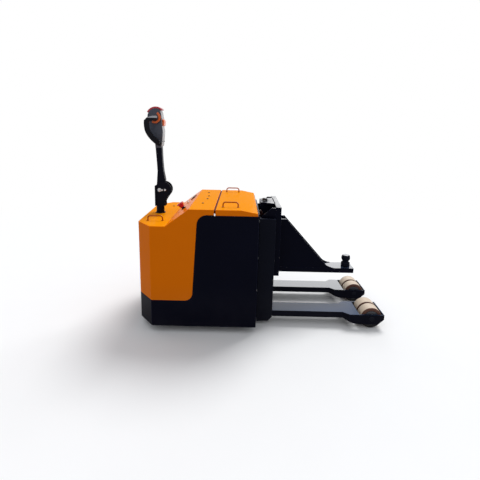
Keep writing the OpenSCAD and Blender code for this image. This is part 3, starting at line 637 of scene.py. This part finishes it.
def turned(profile, vertices=24):
    """A turned piece on the Z axis, from its foot up through pairs of radius and height."""
    radius, height = profile[0]
    piece = add_primitive(
        "circle", vertices=vertices, radius=radius, fill_type="NGON", location=(0, 0, height)
    )
    settle(piece)
    bpy.ops.object.mode_set(mode="EDIT")
    bpy.ops.mesh.select_all(action="SELECT")
    for new_radius, new_height in profile[1:]:
        rise = (0, 0, new_height - height)
        bpy.ops.mesh.extrude_region_move(TRANSFORM_OT_translate={"value": rise})
        scale = new_radius / radius
        bpy.ops.transform.resize(value=(scale, scale, 1), center_override=(0, 0, new_height))
        radius, height = new_radius, new_height
    bpy.ops.mesh.select_all(action="SELECT")
    bpy.ops.mesh.normals_make_consistent(inside=False)
    bpy.ops.object.mode_set(mode="OBJECT")
    return piece


def ring(outer, inner, depth, vertices=32):
    """A flat ring that stands on the origin."""
    piece = add_primitive(
        "cylinder", vertices=vertices, radius=outer, depth=depth, location=(0, 0, depth / 2)
    )
    settle(piece)
    choose_faces(piece, lambda centre, normal: abs(normal.z) > 0.9)
    bpy.ops.mesh.inset(thickness=outer - inner)
    bpy.ops.mesh.bridge_edge_loops()
    bpy.ops.mesh.select_all(action="SELECT")
    bpy.ops.mesh.normals_make_consistent(inside=False)
    bpy.ops.object.mode_set(mode="OBJECT")
    return piece


def block(low, high):
    """A block between two corners, with its top stepped in a little."""
    size = [b - a for a, b in zip(low, high)]
    middle = [(a + b) / 2 for a, b in zip(low, high)]
    piece = add_primitive("cube", size=1, location=middle, scale=size)
    settle(piece)
    edge = 0.08 * min(size)
    step_in(piece, looks_up, edge, edge)
    return piece


def hex_bolt(radius, height):
    """A hexagon head with a chamfered crown, on its washer."""
    head = add_primitive(
        "cylinder", vertices=6, radius=radius, depth=height, location=(0, 0, height * 0.62)
    )
    settle(head)
    step_in(head, looks_up, radius * 0.14, radius * 0.1)
    rim = radius * 1.32
    washer = turned([(rim, 0), (rim, height * 0.12), (radius * 1.22, height * 0.16)], 20)
    return joined([head, washer])


def socket_screw(radius, height):
    """A low round head with its sunk socket."""
    return turned(
        [(radius, 0), (radius, height * 0.7), (radius * 0.86, height), (radius * 0.5, height),
         (radius * 0.46, height * 0.35)], 18,
    )


def lay_copies(model, places):
    """Copies a model to each place and joins the copies."""
    parts = []
    for place in places:
        part = bpy.data.objects.new(model.name, model.data.copy())
        part.matrix_world = place
        bpy.context.scene.collection.objects.link(part)
        parts.append(part)
    bpy.data.objects.remove(model)
    bpy.context.view_layer.update()
    return settle(joined(parts))


def add_fittings(name, node, finish, model, places):
    """Copies of one fitting that ride with a node."""
    piece = lay_copies(model, places)
    piece.name = name
    paint(piece, finish)
    smooth(piece)
    seat(piece, node)
    return piece


def add_welds(name, node, lines, radius=0.0035):
    """Weld beads along straight lines, each a row of small overlapping ripples."""
    beads = []
    step = radius * 1.3
    for start, end in lines:
        run = end - start
        ripple = add_primitive(
            "cone", vertices=8, radius1=radius, radius2=radius * 0.78, depth=step * 1.5
        )
        step_in(ripple, looks_up, radius * 0.2, radius * 0.15)
        settle(ripple)
        apply_modifier(
            ripple, "ARRAY", count=int(run.length / step), use_relative_offset=False,
            use_constant_offset=True, constant_offset_displace=(0, 0, step),
        )
        beads.append(settle(ripple, facing(start, run)))
    piece = joined(beads)
    piece.name = name
    paint(piece, "frame")
    smooth(piece, 60.0)
    seat(piece, node)


# Operators


class TUG_OT_hood(bpy.types.Operator):
    """Finishes the front cover, the lid, their handles and the bar under the groove"""

    bl_idname = "tug.hood"
    bl_label = "Hood and lid"

    def execute(self, context):
        sizes = context.scene.tug_sizes
        # The flat tops of the cover and the lid get the finish with painted sunlight.
        soften(("front_cover", "lid"), ("orange", "orange_edge"), sizes.fold, top="orange_painted_sunlight")
        # The bar under the groove gets a dark brown, the groove's painted shade.
        soften(("cross_bar",), ("bar",), sizes.plate_edge)
        handles = ("deck_handle", "lid_handle_left", "lid_handle_right")
        # The handles take the darkened orange, a painted shade.
        soften(handles, ("handle",), sizes.fine_edge, 2)
        add_fittings(
            "bar_ends", "cross_bar", "bright",
            block((-0.0045, -0.003, -0.013), (0.0045, 0.003, 0.013)),
            shifted(at(GROOVE_S, side * BAR_END_Y, BAR_Z) for side in SIDES),
        )
        screws = [(*DECK_SCREW, DECK_Z)] + [(s, y, HOOD_Z) for s, y in HOOD_SCREWS]
        add_fittings(
            "cover_screws", "front_cover", "dark_bolt", socket_screw(0.007, 0.004),
            [facing(at(*screw), UP) for screw in screws],
        )
        return {"FINISHED"}


class TUG_OT_body(bpy.types.Operator):
    """Finishes the black body panels, the floor and the battery"""

    bl_idname = "tug.body"
    bl_label = "Body panels"

    def execute(self, context):
        sizes = context.scene.tug_sizes
        panels = ("front_skirt", "side_panel_left", "side_panel_right", "rear_panel")
        soften(panels, ("black", "black_edge"), sizes.fold)
        soften(("floor_pan", "drive_frame"), ("frame", "frame_edge"), sizes.plate_edge)
        screw_y, heights = 0.36, (0.09, 0.3, 0.53, 0.78)
        add_fittings(
            "panel_screws", "rear_panel", "dark_bolt", hex_bolt(0.008, 0.005),
            [facing(at(REAR_S, side * screw_y, z), BACK) for side in SIDES for z in heights],
        )
        self.add_battery(sizes.plate_edge)
        return {"FINISHED"}

    def add_battery(self, edge):
        """The battery's tray with its twelve cells, their vent caps and the straps between them."""
        rim, sink, gap, rows, row_length = 0.01, 0.016, 0.002, 2, 6
        low, high = (Vector(corner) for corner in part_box("battery"))
        tray = node_copy("battery")
        step_in(tray, looks_up, rim)
        step_in(
            tray, lambda centre, normal: looks_up(centre, normal) and abs(centre.y) < 0.01, 0, -sink
        )
        paint(tray, "battery")
        round_edges(tray, edge, 2)
        seat(tray, "battery", stands_for=True)
        length = (high.x - low.x - 2 * rim) / rows
        width = (high.y - low.y - 2 * rim) / row_length
        top = high.z - 0.006
        centres = [
            Vector((low.x + rim + length * (row + 0.5), low.y + rim + width * (place + 0.5), top))
            for row in range(rows) for place in range(row_length)
        ]
        x, y = length / 2 - gap, width / 2 - gap
        lid = block((-x, -y, -0.014), (x, y, -0.001))
        cells = add_fittings("battery_cells", "battery", "cell", lid, shifted(centres))
        round_edges(cells, edge, 2)
        cap = [(0.017, -0.002), (0.017, 0.004), (0.013, 0.007), (0.012, 0.007), (0.01, 0.005)]
        add_fittings("vent_caps", "battery", "accent", turned(cap, 20), shifted(centres))
        end = Vector((0.06, 0, 0))
        posts = turned([(0.011, -0.002), (0.01, 0.005), (0.006, 0.006)], 16)
        add_fittings(
            "cell_posts", "battery", "lead", posts,
            shifted(centre + way * end for centre in centres for way in SIDES),
        )
        strap = block((-0.011, -width / 2 - 0.009, 0), (0.011, width / 2 + 0.009, 0.004))
        add_fittings(
            "cell_straps", "battery", "lead", strap,
            shifted(
                (centres[i] + centres[i + 1]) / 2 + (-1) ** i * end
                for i in range(rows * row_length - 1) if i != row_length - 1
            ),
        )


class TUG_OT_mast(bpy.types.Operator):
    """Finishes the mast, the lift cylinder and the carriage"""

    bl_idname = "tug.mast"
    bl_label = "Mast and carriage"

    def execute(self, context):
        edge = context.scene.tug_sizes.plate_edge
        mast = ("mast_plate", "mast_channel_left", "mast_channel_right")
        # The mast's flat tops get a painted highlight.
        soften(mast, ("frame", "frame_edge"), edge, top="frame_painted_highlight")
        carriage = ("carriage_plate", "carriage_sides", "top_bracket")
        # The carriage's and the shelf's flat tops get a brighter painted highlight.
        soften(carriage, ("black", "black_edge"), edge, top="shelf_painted_highlight")
        soften(("lift_cylinder",), ("ram",), edge)
        soften(("lift_rod",), ("chrome",), edge)
        soften(("carriage_rollers",), ("steel",), edge)
        self.add_mast_fittings()
        self.add_shelf_fittings()
        return {"FINISHED"}

    def add_mast_fittings(self):
        """Bolts and welds of the mast, and the cylinder's gland and port."""
        bolt_y, heights = 0.17, (0.2, 0.38, 0.56, 0.74)
        add_fittings(
            "mast_bolts", "mast_plate", "dark_bolt", hex_bolt(0.011, 0.0075),
            [facing(at(MAST_S, side * bolt_y, z), BACK) for side in SIDES for z in heights],
        )
        seam_s, seam_y = MAST_S + 0.0005, 0.2695
        seams = twin_lines((seam_s, seam_y, 0.06), (seam_s, seam_y, 0.77))
        add_welds("mast_welds", "mast_plate", seams)
        rises = ((0.041, 0.0), (0.041, 0.003), (0.039, 0.0055), (0.027, 0.0055), (0.0245, 0.0035))
        gland = turned([(radius, GLAND_Z + rise) for radius, rise in rises], 40)
        add_fittings("gland_nut", "lift_cylinder", "ram", gland, shifted([at(LIFT_S, 0, 0)]))
        add_fittings(
            "lift_port", "lift_cylinder", "bright", hex_bolt(0.012, 0.011),
            [facing(at(0.833, 0, 0.15), AHEAD)],
        )

    def add_shelf_fittings(self):
        """The rod's nut, and the bolts and welds of the shelf on it."""
        add_fittings(
            "rod_nut", "top_bracket", "dark_bolt", hex_bolt(0.02, 0.014),
            [facing(at(LIFT_S, 0, SHELF_Z), UP)],
        )
        add_fittings(
            "shelf_bolts", "top_bracket", "dark_bolt", hex_bolt(0.009, 0.006),
            [facing(at(0.861, side * 0.05, SHELF_Z), UP) for side in SIDES],
        )
        foot_s, foot_y, seam_s, seam_z = 0.9335, 0.0595, 0.934, SHELF_Z + 0.0005
        upright = twin_lines((foot_s, foot_y, 0.7), (foot_s, foot_y, 0.838))
        across = [(at(seam_s, -0.11, seam_z), at(seam_s, 0.11, seam_z))]
        add_welds("shelf_welds", "top_bracket", upright + across, 0.0028)


class TUG_OT_tow_bracket(bpy.types.Operator):
    """Finishes the tow bracket, its welds and its ball"""

    bl_idname = "tug.tow_bracket"
    bl_label = "Tow bracket"

    def execute(self, context):
        sizes = context.scene.tug_sizes
        bracket = ("hitch_webs", "hitch_plate")
        # Painted sky reflection on the flat tops of the tow bracket and the ball.
        soften(bracket, ("black", "black_edge"), sizes.plate_edge, top="black_painted_sky_glint")
        soften(("hitch_ball",), ("frame", "frame_edge"), sizes.small_edge, 2, top="black_painted_sky_glint")
        seam_s, floor_z, under_z = CARRIAGE_S + 0.0005, 0.3555, TOW_UNDER_Z + 0.0005
        inside = twin_lines((seam_s, WEB_INSIDE_Y, 0.36), (seam_s, WEB_INSIDE_Y, 0.72))
        outside = twin_lines((seam_s, WEB_OUTSIDE_Y, 0.36), (seam_s, WEB_OUTSIDE_Y, 0.722))
        floor = twin_lines((0.975, WEB_INSIDE_Y, floor_z), (1.37, WEB_INSIDE_Y, floor_z))
        under = [(at(seam_s, -0.062, under_z), at(seam_s, 0.062, under_z))]
        add_welds("bracket_welds", "hitch_webs", inside + outside + floor + under)
        add_fittings(
            "ball_screw", "hitch_ball", "dark_bolt", socket_screw(0.014, 0.0015),
            [facing(at(BALL_S, 0, TOW_UNDER_Z), DOWN)],
        )
        return {"FINISHED"}


class TUG_OT_legs(bpy.types.Operator):
    """Finishes the legs and their load wheels"""

    bl_idname = "tug.legs"
    bl_label = "Legs and load wheels"

    def execute(self, context):
        sizes = context.scene.tug_sizes
        # Painted sky reflection: the near leg's top gets a blue finish, the far leg's top a glossy
        # bluish black.
        for leg, top in (("leg_left", "blue_painted_sky"), ("leg_right", "black_painted_sky_glint")):
            soften((leg,), ("black", "black_edge"), sizes.plate_edge, top=top)
        soften(("leg_axles",), ("frame", "frame_edge"), sizes.plate_edge)
        for side, name in zip(SIDES, ("left", "right")):
            treads = node_copy("load_treads_" + name)
            paint(treads, "tread", "tread_side")
            round_edges(treads, sizes.tread_edge, 4)
            for face in treads.data.polygons:
                if abs(face.normal.y) > 0.9:
                    face.material_index = 1
            seat(treads, "load_treads_" + name, stands_for=True)
            self.add_hub_rings(side, name)
        soften(("load_hubs_left", "load_hubs_right"), ("bearing",), sizes.plate_edge)
        return {"FINISHED"}

    def add_hub_rings(self, side, name):
        """Bearing rings on both side faces of each wheel of a pair."""
        middle, outer, inner = side * LOAD_Y, 0.088, 0.005
        faces = [(middle + way * outer, way) for way in SIDES]
        faces += [(middle + way * inner, -way) for way in SIDES]
        add_fittings(
            "bearing_rings_" + name, "load_hubs_" + name, "steel", ring(0.031, 0.026, 0.0012, 40),
            [facing(at(LOAD_S, y, LOAD_Z), (0, way, 0)) for y, way in faces],
        )


class TUG_OT_console(bpy.types.Operator):
    """Finishes the stop knob, the key switch and the meter"""

    bl_idname = "tug.console"
    bl_label = "Console"

    def execute(self, context):
        sizes = context.scene.tug_sizes
        soften(("stop_stem",), ("plastic",), sizes.stem_edge)
        soften(("stop_knob",), ("red",), sizes.knob_edge)
        soften(("key_switch",), ("bright",), sizes.fine_edge)
        self.add_meter(sizes.small_edge)
        return {"FINISHED"}

    def add_meter(self, edge):
        """The meter with its sunk glass and a row of segments on it."""
        meter = node_copy("meter")
        paint(meter, "plastic", "plastic", "glass")
        round_edges(meter, edge, 2)
        up = Vector((-math.sin(self.slope()), 0, math.cos(self.slope())))
        rim, sink, glass_area = 0.005, 0.001, 0.002
        step_in(meter, lambda centre, normal: normal.dot(up) > 0.99, rim, -sink)
        for face in meter.data.polygons:
            if face.normal.dot(up) > 0.99 and face.area > glass_area:
                face.material_index = 2
        seat(meter, "meter", stands_for=True)
        pitch, height = 0.009, 0.0042
        add_fittings(
            "meter_segments", "meter", "segment",
            block((-0.006, -0.0028, 0), (0.006, 0.0028, 0.0005)),
            [self.place(METER_UP, METER_Y + pitch * step, height) for step in range(-4, 3)],
        )

    def slope(self):
        """The console's angle over the floor."""
        return math.atan2(HOOD_Z - DECK_Z, CONSOLE_RUN)

    def place(self, up, y, height):
        """A place so far up the console and over it, with Z square to it."""
        turn = Matrix.Rotation(-self.slope(), 4, "Y")
        foot = Matrix.Translation(at(CONSOLE_S, y, DECK_Z))
        return foot @ turn @ Matrix.Translation((up, 0, height))


class TUG_OT_column(bpy.types.Operator):
    """Finishes the steering column and the tiller's bracket"""

    bl_idname = "tug.column"
    bl_label = "Steering column"

    def execute(self, context):
        sizes = context.scene.tug_sizes
        soften(("column_bush",), ("plastic",), sizes.plate_edge)
        column = ("steering_column", "hub_bracket")
        soften(column, ("frame", "frame_edge"), sizes.plate_edge)
        soften(("hub_bolts",), ("steel",), sizes.pin_edge)
        self.add_on_sides("pivot_bolts", hex_bolt(0.0095, 0.004), PIVOT)
        retainer = turned([(0.0075, 0), (0.0075, 0.004), (0.0065, 0.005)], 20)
        self.add_on_sides("pin_retainers", retainer, PIVOT_PIN)
        flange_s = 0.0665
        seams = twin_lines((flange_s, COLUMN_SIDE_Y, 0.806), (flange_s, COLUMN_SIDE_Y, 0.944))
        add_welds("flange_welds", "hub_bracket", seams, 0.0025)
        return {"FINISHED"}

    def add_on_sides(self, name, model, place):
        """A steel fitting on both sides of the pivot."""
        s, y, z = place
        add_fittings(
            name, "hub_bolts", "steel", model,
            [facing(at(s, side * y, z), (0, side, 0)) for side in SIDES],
        )


class TUG_OT_tiller(bpy.types.Operator):
    """Finishes the tiller's arm and head"""

    bl_idname = "tug.tiller"
    bl_label = "Tiller"

    def execute(self, context):
        sizes = context.scene.tug_sizes
        soften(("tiller_arm",), ("frame", "frame_edge"), sizes.cast_edge)
        soften(("tiller_head",), ("head",), sizes.cast_edge)
        soften(("head_cover",), ("pale",), sizes.knob_edge)
        soften(("head_rocker", "thumb_wheels"), ("accent",), sizes.button_edge)
        soften(("belly_button",), ("red",), sizes.button_edge)
        guards = soften(("hand_guard_left", "hand_guard_right"), ("guard",), sizes.guard_edge, 4)
        # Painted highlight: the upward faces of the guards' upper bars get a pale gloss in place of
        # the sun's glint.
        for guard in guards:
            paint_light_on_tops(guard, "guard_painted_highlight", lean=0.35, foot=GUARD_HIGHLIGHT_Z)
        self.add_grips()
        self.add_buttons()
        return {"FINISHED"}

    def add_grips(self):
        """Ribbed rubber sleeves on the grips."""
        root, crest, pitch = 0.0152, 0.0162, 0.0055
        ribs = []
        for step in range(9):
            foot = step * pitch
            ribs += [(root, foot), (crest, foot + 0.0008), (crest, foot + 0.0038)]
            ribs += [(root, foot + 0.0046)]
        add_fittings(
            "grip_sleeves", "tiller_head", "grip", turned(ribs, 28),
            [facing(at(GRIP_S, side * GRIP_FOOT_Y, GRIP_Z), (0, side, 0)) for side in SIDES],
        )

    def add_buttons(self):
        """Lift and horn buttons on the side that faces the driver, and the rear cover's screws."""
        lift_y, heights, horn_z = 0.018, (1.388, 1.361), 1.328
        button = [(0.0085, -0.004), (0.0085, 0.002), (0.007, 0.0035), (0.004, 0.0038)]
        add_fittings(
            "lift_buttons", "tiller_head", "plastic", turned(button, 22),
            [self.on_front(side * lift_y, z) for side in SIDES for z in heights],
        )
        horn = turned([(1.5 * radius, height) for radius, height in button], 28)
        add_fittings("horn_button", "tiller_head", "accent", horn, [self.on_front(0.0, horn_z)])
        add_fittings(
            "cover_bolts", "head_cover", "dark_bolt", socket_screw(0.0035, 0.002),
            [facing(at(0.1215, side * 0.026, 1.27), (1, 0, -0.15)) for side in SIDES],
        )

    def on_front(self, y, z):
        """A place on the round front of the head, with Z out of it."""
        rise = z - HEAD_MIDDLE_Z
        reach = math.sqrt(HEAD_RADIUS**2 - rise**2)
        return facing(at(HEAD_MIDDLE_S - reach, y, z), (-reach, 0, rise))


class TUG_OT_drive(bpy.types.Operator):
    """Finishes the drive unit and the castors"""

    bl_idname = "tug.drive"
    bl_label = "Drive unit and castors"

    def execute(self, context):
        sizes = context.scene.tug_sizes
        soften(("drive_housing",), ("motor",), sizes.plate_edge)
        soften(("drive_hub",), ("steel",), sizes.plate_edge)
        soften(("drive_tyre",), ("rubber",), sizes.cast_edge)
        soften(("castor_fork_left", "castor_fork_right"), ("steel",), sizes.plate_edge)
        # The castor wheels share this finish, its painted shade low down included.
        soften(("castor_wheel_left", "castor_wheel_right"), ("tread_side",), sizes.cast_edge)
        self.add_motor()
        self.add_wheel_bolts()
        return {"FINISHED"}

    def add_motor(self):
        """Cooling rings round the motor, the brake on its top and the gear case's bolts."""
        axis = shifted([at(DRIVE_S, 0, 0)])
        root, crest, lowest, pitch = 0.0815, 0.0865, 0.35, 0.018
        fins = []
        for step in range(9):
            foot = lowest + step * pitch
            fins += [(root, foot), (crest, foot + 0.001), (crest, foot + 0.005)]
            fins += [(root, foot + 0.006)]
        add_fittings("motor_rings", "drive_housing", "motor", turned(fins, 48), axis)
        brake = [(0.056, 0.55), (0.056, 0.572), (0.052, 0.577), (0.03, 0.577), (0.03, 0.583)]
        brake += [(0.012, 0.584)]
        add_fittings("motor_brake", "drive_housing", "dark_bolt", turned(brake, 40), axis)
        add_fittings(
            "gear_case_bolts", "drive_housing", "bright", hex_bolt(0.006, 0.004),
            bolt_circle(at(DRIVE_S, 0.091, DRIVE_Z), 0.047, 1, first=30),
        )

    def add_wheel_bolts(self):
        """Bolts on the drive wheel's disc and nuts on the castors' axles."""
        add_fittings(
            "wheel_bolts", "drive_hub", "bright", hex_bolt(0.008, 0.006),
            bolt_circle(at(DRIVE_S, -0.012, DRIVE_Z), 0.06, -1),
        )
        for side, name in zip(SIDES, ("left", "right")):
            middle, half = side * CASTOR_Y, 0.035
            add_fittings(
                "castor_nuts_" + name, "castor_fork_" + name, "bright", hex_bolt(0.0095, 0.0028),
                [
                    facing(at(CASTOR_S, middle + way * half, CASTOR_Z), (0, way, 0))
                    for way in SIDES
                ],
            )


class TUG_OT_stage(bpy.types.Operator):
    """Adds the floor, the soft lights and the camera"""

    bl_idname = "tug.stage"
    bl_label = "Stage"

    def execute(self, context):
        settings = context.scene.tug_stage
        self.add_floor()
        self.add_world(context.scene, settings.sky)
        self.add_sun(settings.sun)
        self.add_rim_lamp(settings.rim)
        self.add_camera(context.scene, settings)
        return {"FINISHED"}

    def seen_directly(self, tree):
        """A value that is 1 where the camera, a reflection or a clear material looks."""
        path = tree.nodes.new("ShaderNodeLightPath")
        seen = add_node(tree, "ShaderNodeMath", operation="MAXIMUM")
        mirrored = add_node(tree, "ShaderNodeMath", operation="MAXIMUM")
        tree.links.new(path.outputs["Is Glossy Ray"], mirrored.inputs[0])
        tree.links.new(path.outputs["Is Transmission Ray"], mirrored.inputs[1])
        tree.links.new(path.outputs["Is Camera Ray"], seen.inputs[0])
        tree.links.new(mirrored.outputs[0], seen.inputs[1])
        return seen.outputs[0]

    def add_floor(self):
        """A floor that looks pale but gives little light back, so the sides stay in soft shade."""
        width, fade_start, fade_end = 80, 1.6, 5.0
        floor = add_primitive("plane", size=width, location=(0, 0, 0))
        floor.name = "stage_floor"
        material = make_finish(
            "stage_floor_paint", (0.9, 0.9, 0.9), 0.9, specular=0.0, spread=0.01, bump=0
        )
        tree = material.node_tree
        shader = tree.nodes["Principled BSDF"]
        pale = shader.inputs["Base Color"].links[0].from_socket
        given_back = (0.34, 0.34, 0.35)
        seen = self.seen_directly(tree)
        tone = mixed(tree, seen, given_back, pale)
        tree.links.new(tone, shader.inputs["Base Color"])
        away = add_node(tree, "ShaderNodeVectorMath", operation="LENGTH")
        tree.links.new(tree.nodes["Texture Coordinate"].outputs["Object"], away.inputs[0])
        share = ranged(tree, away.outputs["Value"], 0.0, 1.0, fade_start, fade_end)
        fade = add_node(tree, "ShaderNodeMath", operation="MULTIPLY")
        tree.links.new(share, fade.inputs[0])
        tree.links.new(seen, fade.inputs[1])
        white = add_node(tree, "ShaderNodeEmission", strength=1.0)
        blend = tree.nodes.new("ShaderNodeMixShader")
        tree.links.new(fade.outputs[0], blend.inputs["Fac"])
        tree.links.new(shader.outputs[0], blend.inputs[1])
        tree.links.new(white.outputs[0], blend.inputs[2])
        tree.links.new(blend.outputs[0], tree.nodes["Material Output"].inputs["Surface"])
        floor.data.materials.append(material)

    def add_world(self, scene, strength):
        """Even light, with white where the camera or a reflection looks past the floor."""
        world = bpy.data.worlds.new("tug_world")
        scene.world = world
        world.use_nodes = True
        tree = world.node_tree
        light = tree.nodes["Background"]
        light.inputs["Color"].default_value = (0.94, 0.96, 1.0, 1.0)
        light.inputs["Strength"].default_value = strength
        white = tree.nodes.new("ShaderNodeBackground")
        white.inputs["Color"].default_value = (1.0, 1.0, 1.0, 1.0)
        choice = tree.nodes.new("ShaderNodeMixShader")
        tree.links.new(self.seen_directly(tree), choice.inputs["Fac"])
        tree.links.new(light.outputs[0], choice.inputs[1])
        tree.links.new(white.outputs[0], choice.inputs[2])
        tree.links.new(choice.outputs[0], tree.nodes["World Output"].inputs["Surface"])

    def add_holder(self, lamp, place, target):
        """Holds a lamp at a place and turns it to a target."""
        holder = bpy.data.objects.new(lamp.name, lamp)
        bpy.context.scene.collection.objects.link(holder)
        aim = (Vector(target) - Vector(place)).to_track_quat("-Z", "Y")
        holder.matrix_world = Matrix.Translation(place) @ aim.to_matrix().to_4x4()

    def add_sun(self, strength):
        """One wide soft light that reaches the whole floor alike."""
        lamp = bpy.data.lights.new("soft_sun", "SUN")
        lamp.energy = strength
        lamp.angle = math.radians(28)
        self.add_holder(lamp, (0.45, 0.75, 1.3), (0, 0, 0))

    def add_rim_lamp(self, power):
        """A soft square lamp beyond the tug that brings out its tops and edges."""
        lamp = bpy.data.lights.new("rim_lamp", "AREA")
        lamp.size = 1.7
        lamp.energy = power
        self.add_holder(lamp, (1.15, 3.6, 1.65), (0.4, 0.0, 0.2))

    def add_camera(self, scene, settings):
        """The photo's camera: tilted down, a little rolled, and its frame shifted down."""
        camera = bpy.data.cameras.new("camera")
        camera.lens = settings.lens
        camera.shift_y = settings.shift
        eye = bpy.data.objects.new("camera", camera)
        scene.collection.objects.link(eye)
        eye.matrix_world = (
            Matrix.Translation((settings.camera_x, -settings.camera_distance, settings.camera_z))
            @ Matrix.Rotation(math.pi / 2 - settings.tilt, 4, "X")
            @ Matrix.Rotation(settings.roll, 4, "Z")
        )
        scene.camera = eye
        scene.view_settings.view_transform = "Standard"


class TUG_PT_panel(bpy.types.Panel):
    """Lists the tug's operators and settings"""

    bl_idname = "TUG_PT_panel"
    bl_label = "Baggage Tug"
    bl_space_type = "VIEW_3D"
    bl_region_type = "UI"
    bl_category = "Baggage Tug"

    def draw(self, context):
        for operator in OPERATORS:
            self.layout.operator(operator.bl_idname)
        for group, _ in GROUPS:
            settings = getattr(context.scene, group)
            box = self.layout.box()
            for name in settings.bl_rna.properties.keys():
                if name not in ("rna_type", "name"):
                    box.prop(settings, name)


OPERATORS = (
    TUG_OT_hood,
    TUG_OT_body,
    TUG_OT_mast,
    TUG_OT_tow_bracket,
    TUG_OT_legs,
    TUG_OT_console,
    TUG_OT_column,
    TUG_OT_tiller,
    TUG_OT_drive,
    TUG_OT_stage,
)
GROUPS = (("tug_colours", TugColours), ("tug_sizes", TugSizes), ("tug_stage", TugStage))
MATERIALS = {}


def register():
    """Registers the settings, the operators and the panel."""
    for name, group in GROUPS:
        bpy.utils.register_class(group)
        setattr(bpy.types.Scene, name, PointerProperty(type=group))
    for operator in OPERATORS:
        bpy.utils.register_class(operator)
    bpy.utils.register_class(TUG_PT_panel)


def unregister():
    """Takes them out again."""
    bpy.utils.unregister_class(TUG_PT_panel)
    for operator in reversed(OPERATORS):
        bpy.utils.unregister_class(operator)
    for name, group in reversed(GROUPS):
        delattr(bpy.types.Scene, name)
        bpy.utils.unregister_class(group)


def main():
    """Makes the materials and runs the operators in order."""
    register()
    colours = bpy.context.scene.tug_colours
    MATERIALS.update(paint_materials(colours))
    MATERIALS.update(metal_materials())
    MATERIALS.update(plastic_materials(colours))
    MATERIALS.update(rubber_materials(colours))
    bpy.ops.tug.hood()
    bpy.ops.tug.body()
    bpy.ops.tug.mast()
    bpy.ops.tug.tow_bracket()
    bpy.ops.tug.legs()
    bpy.ops.tug.console()
    bpy.ops.tug.column()
    bpy.ops.tug.tiller()
    bpy.ops.tug.drive()
    bpy.ops.tug.stage()


if __name__ == "__main__":
    main()
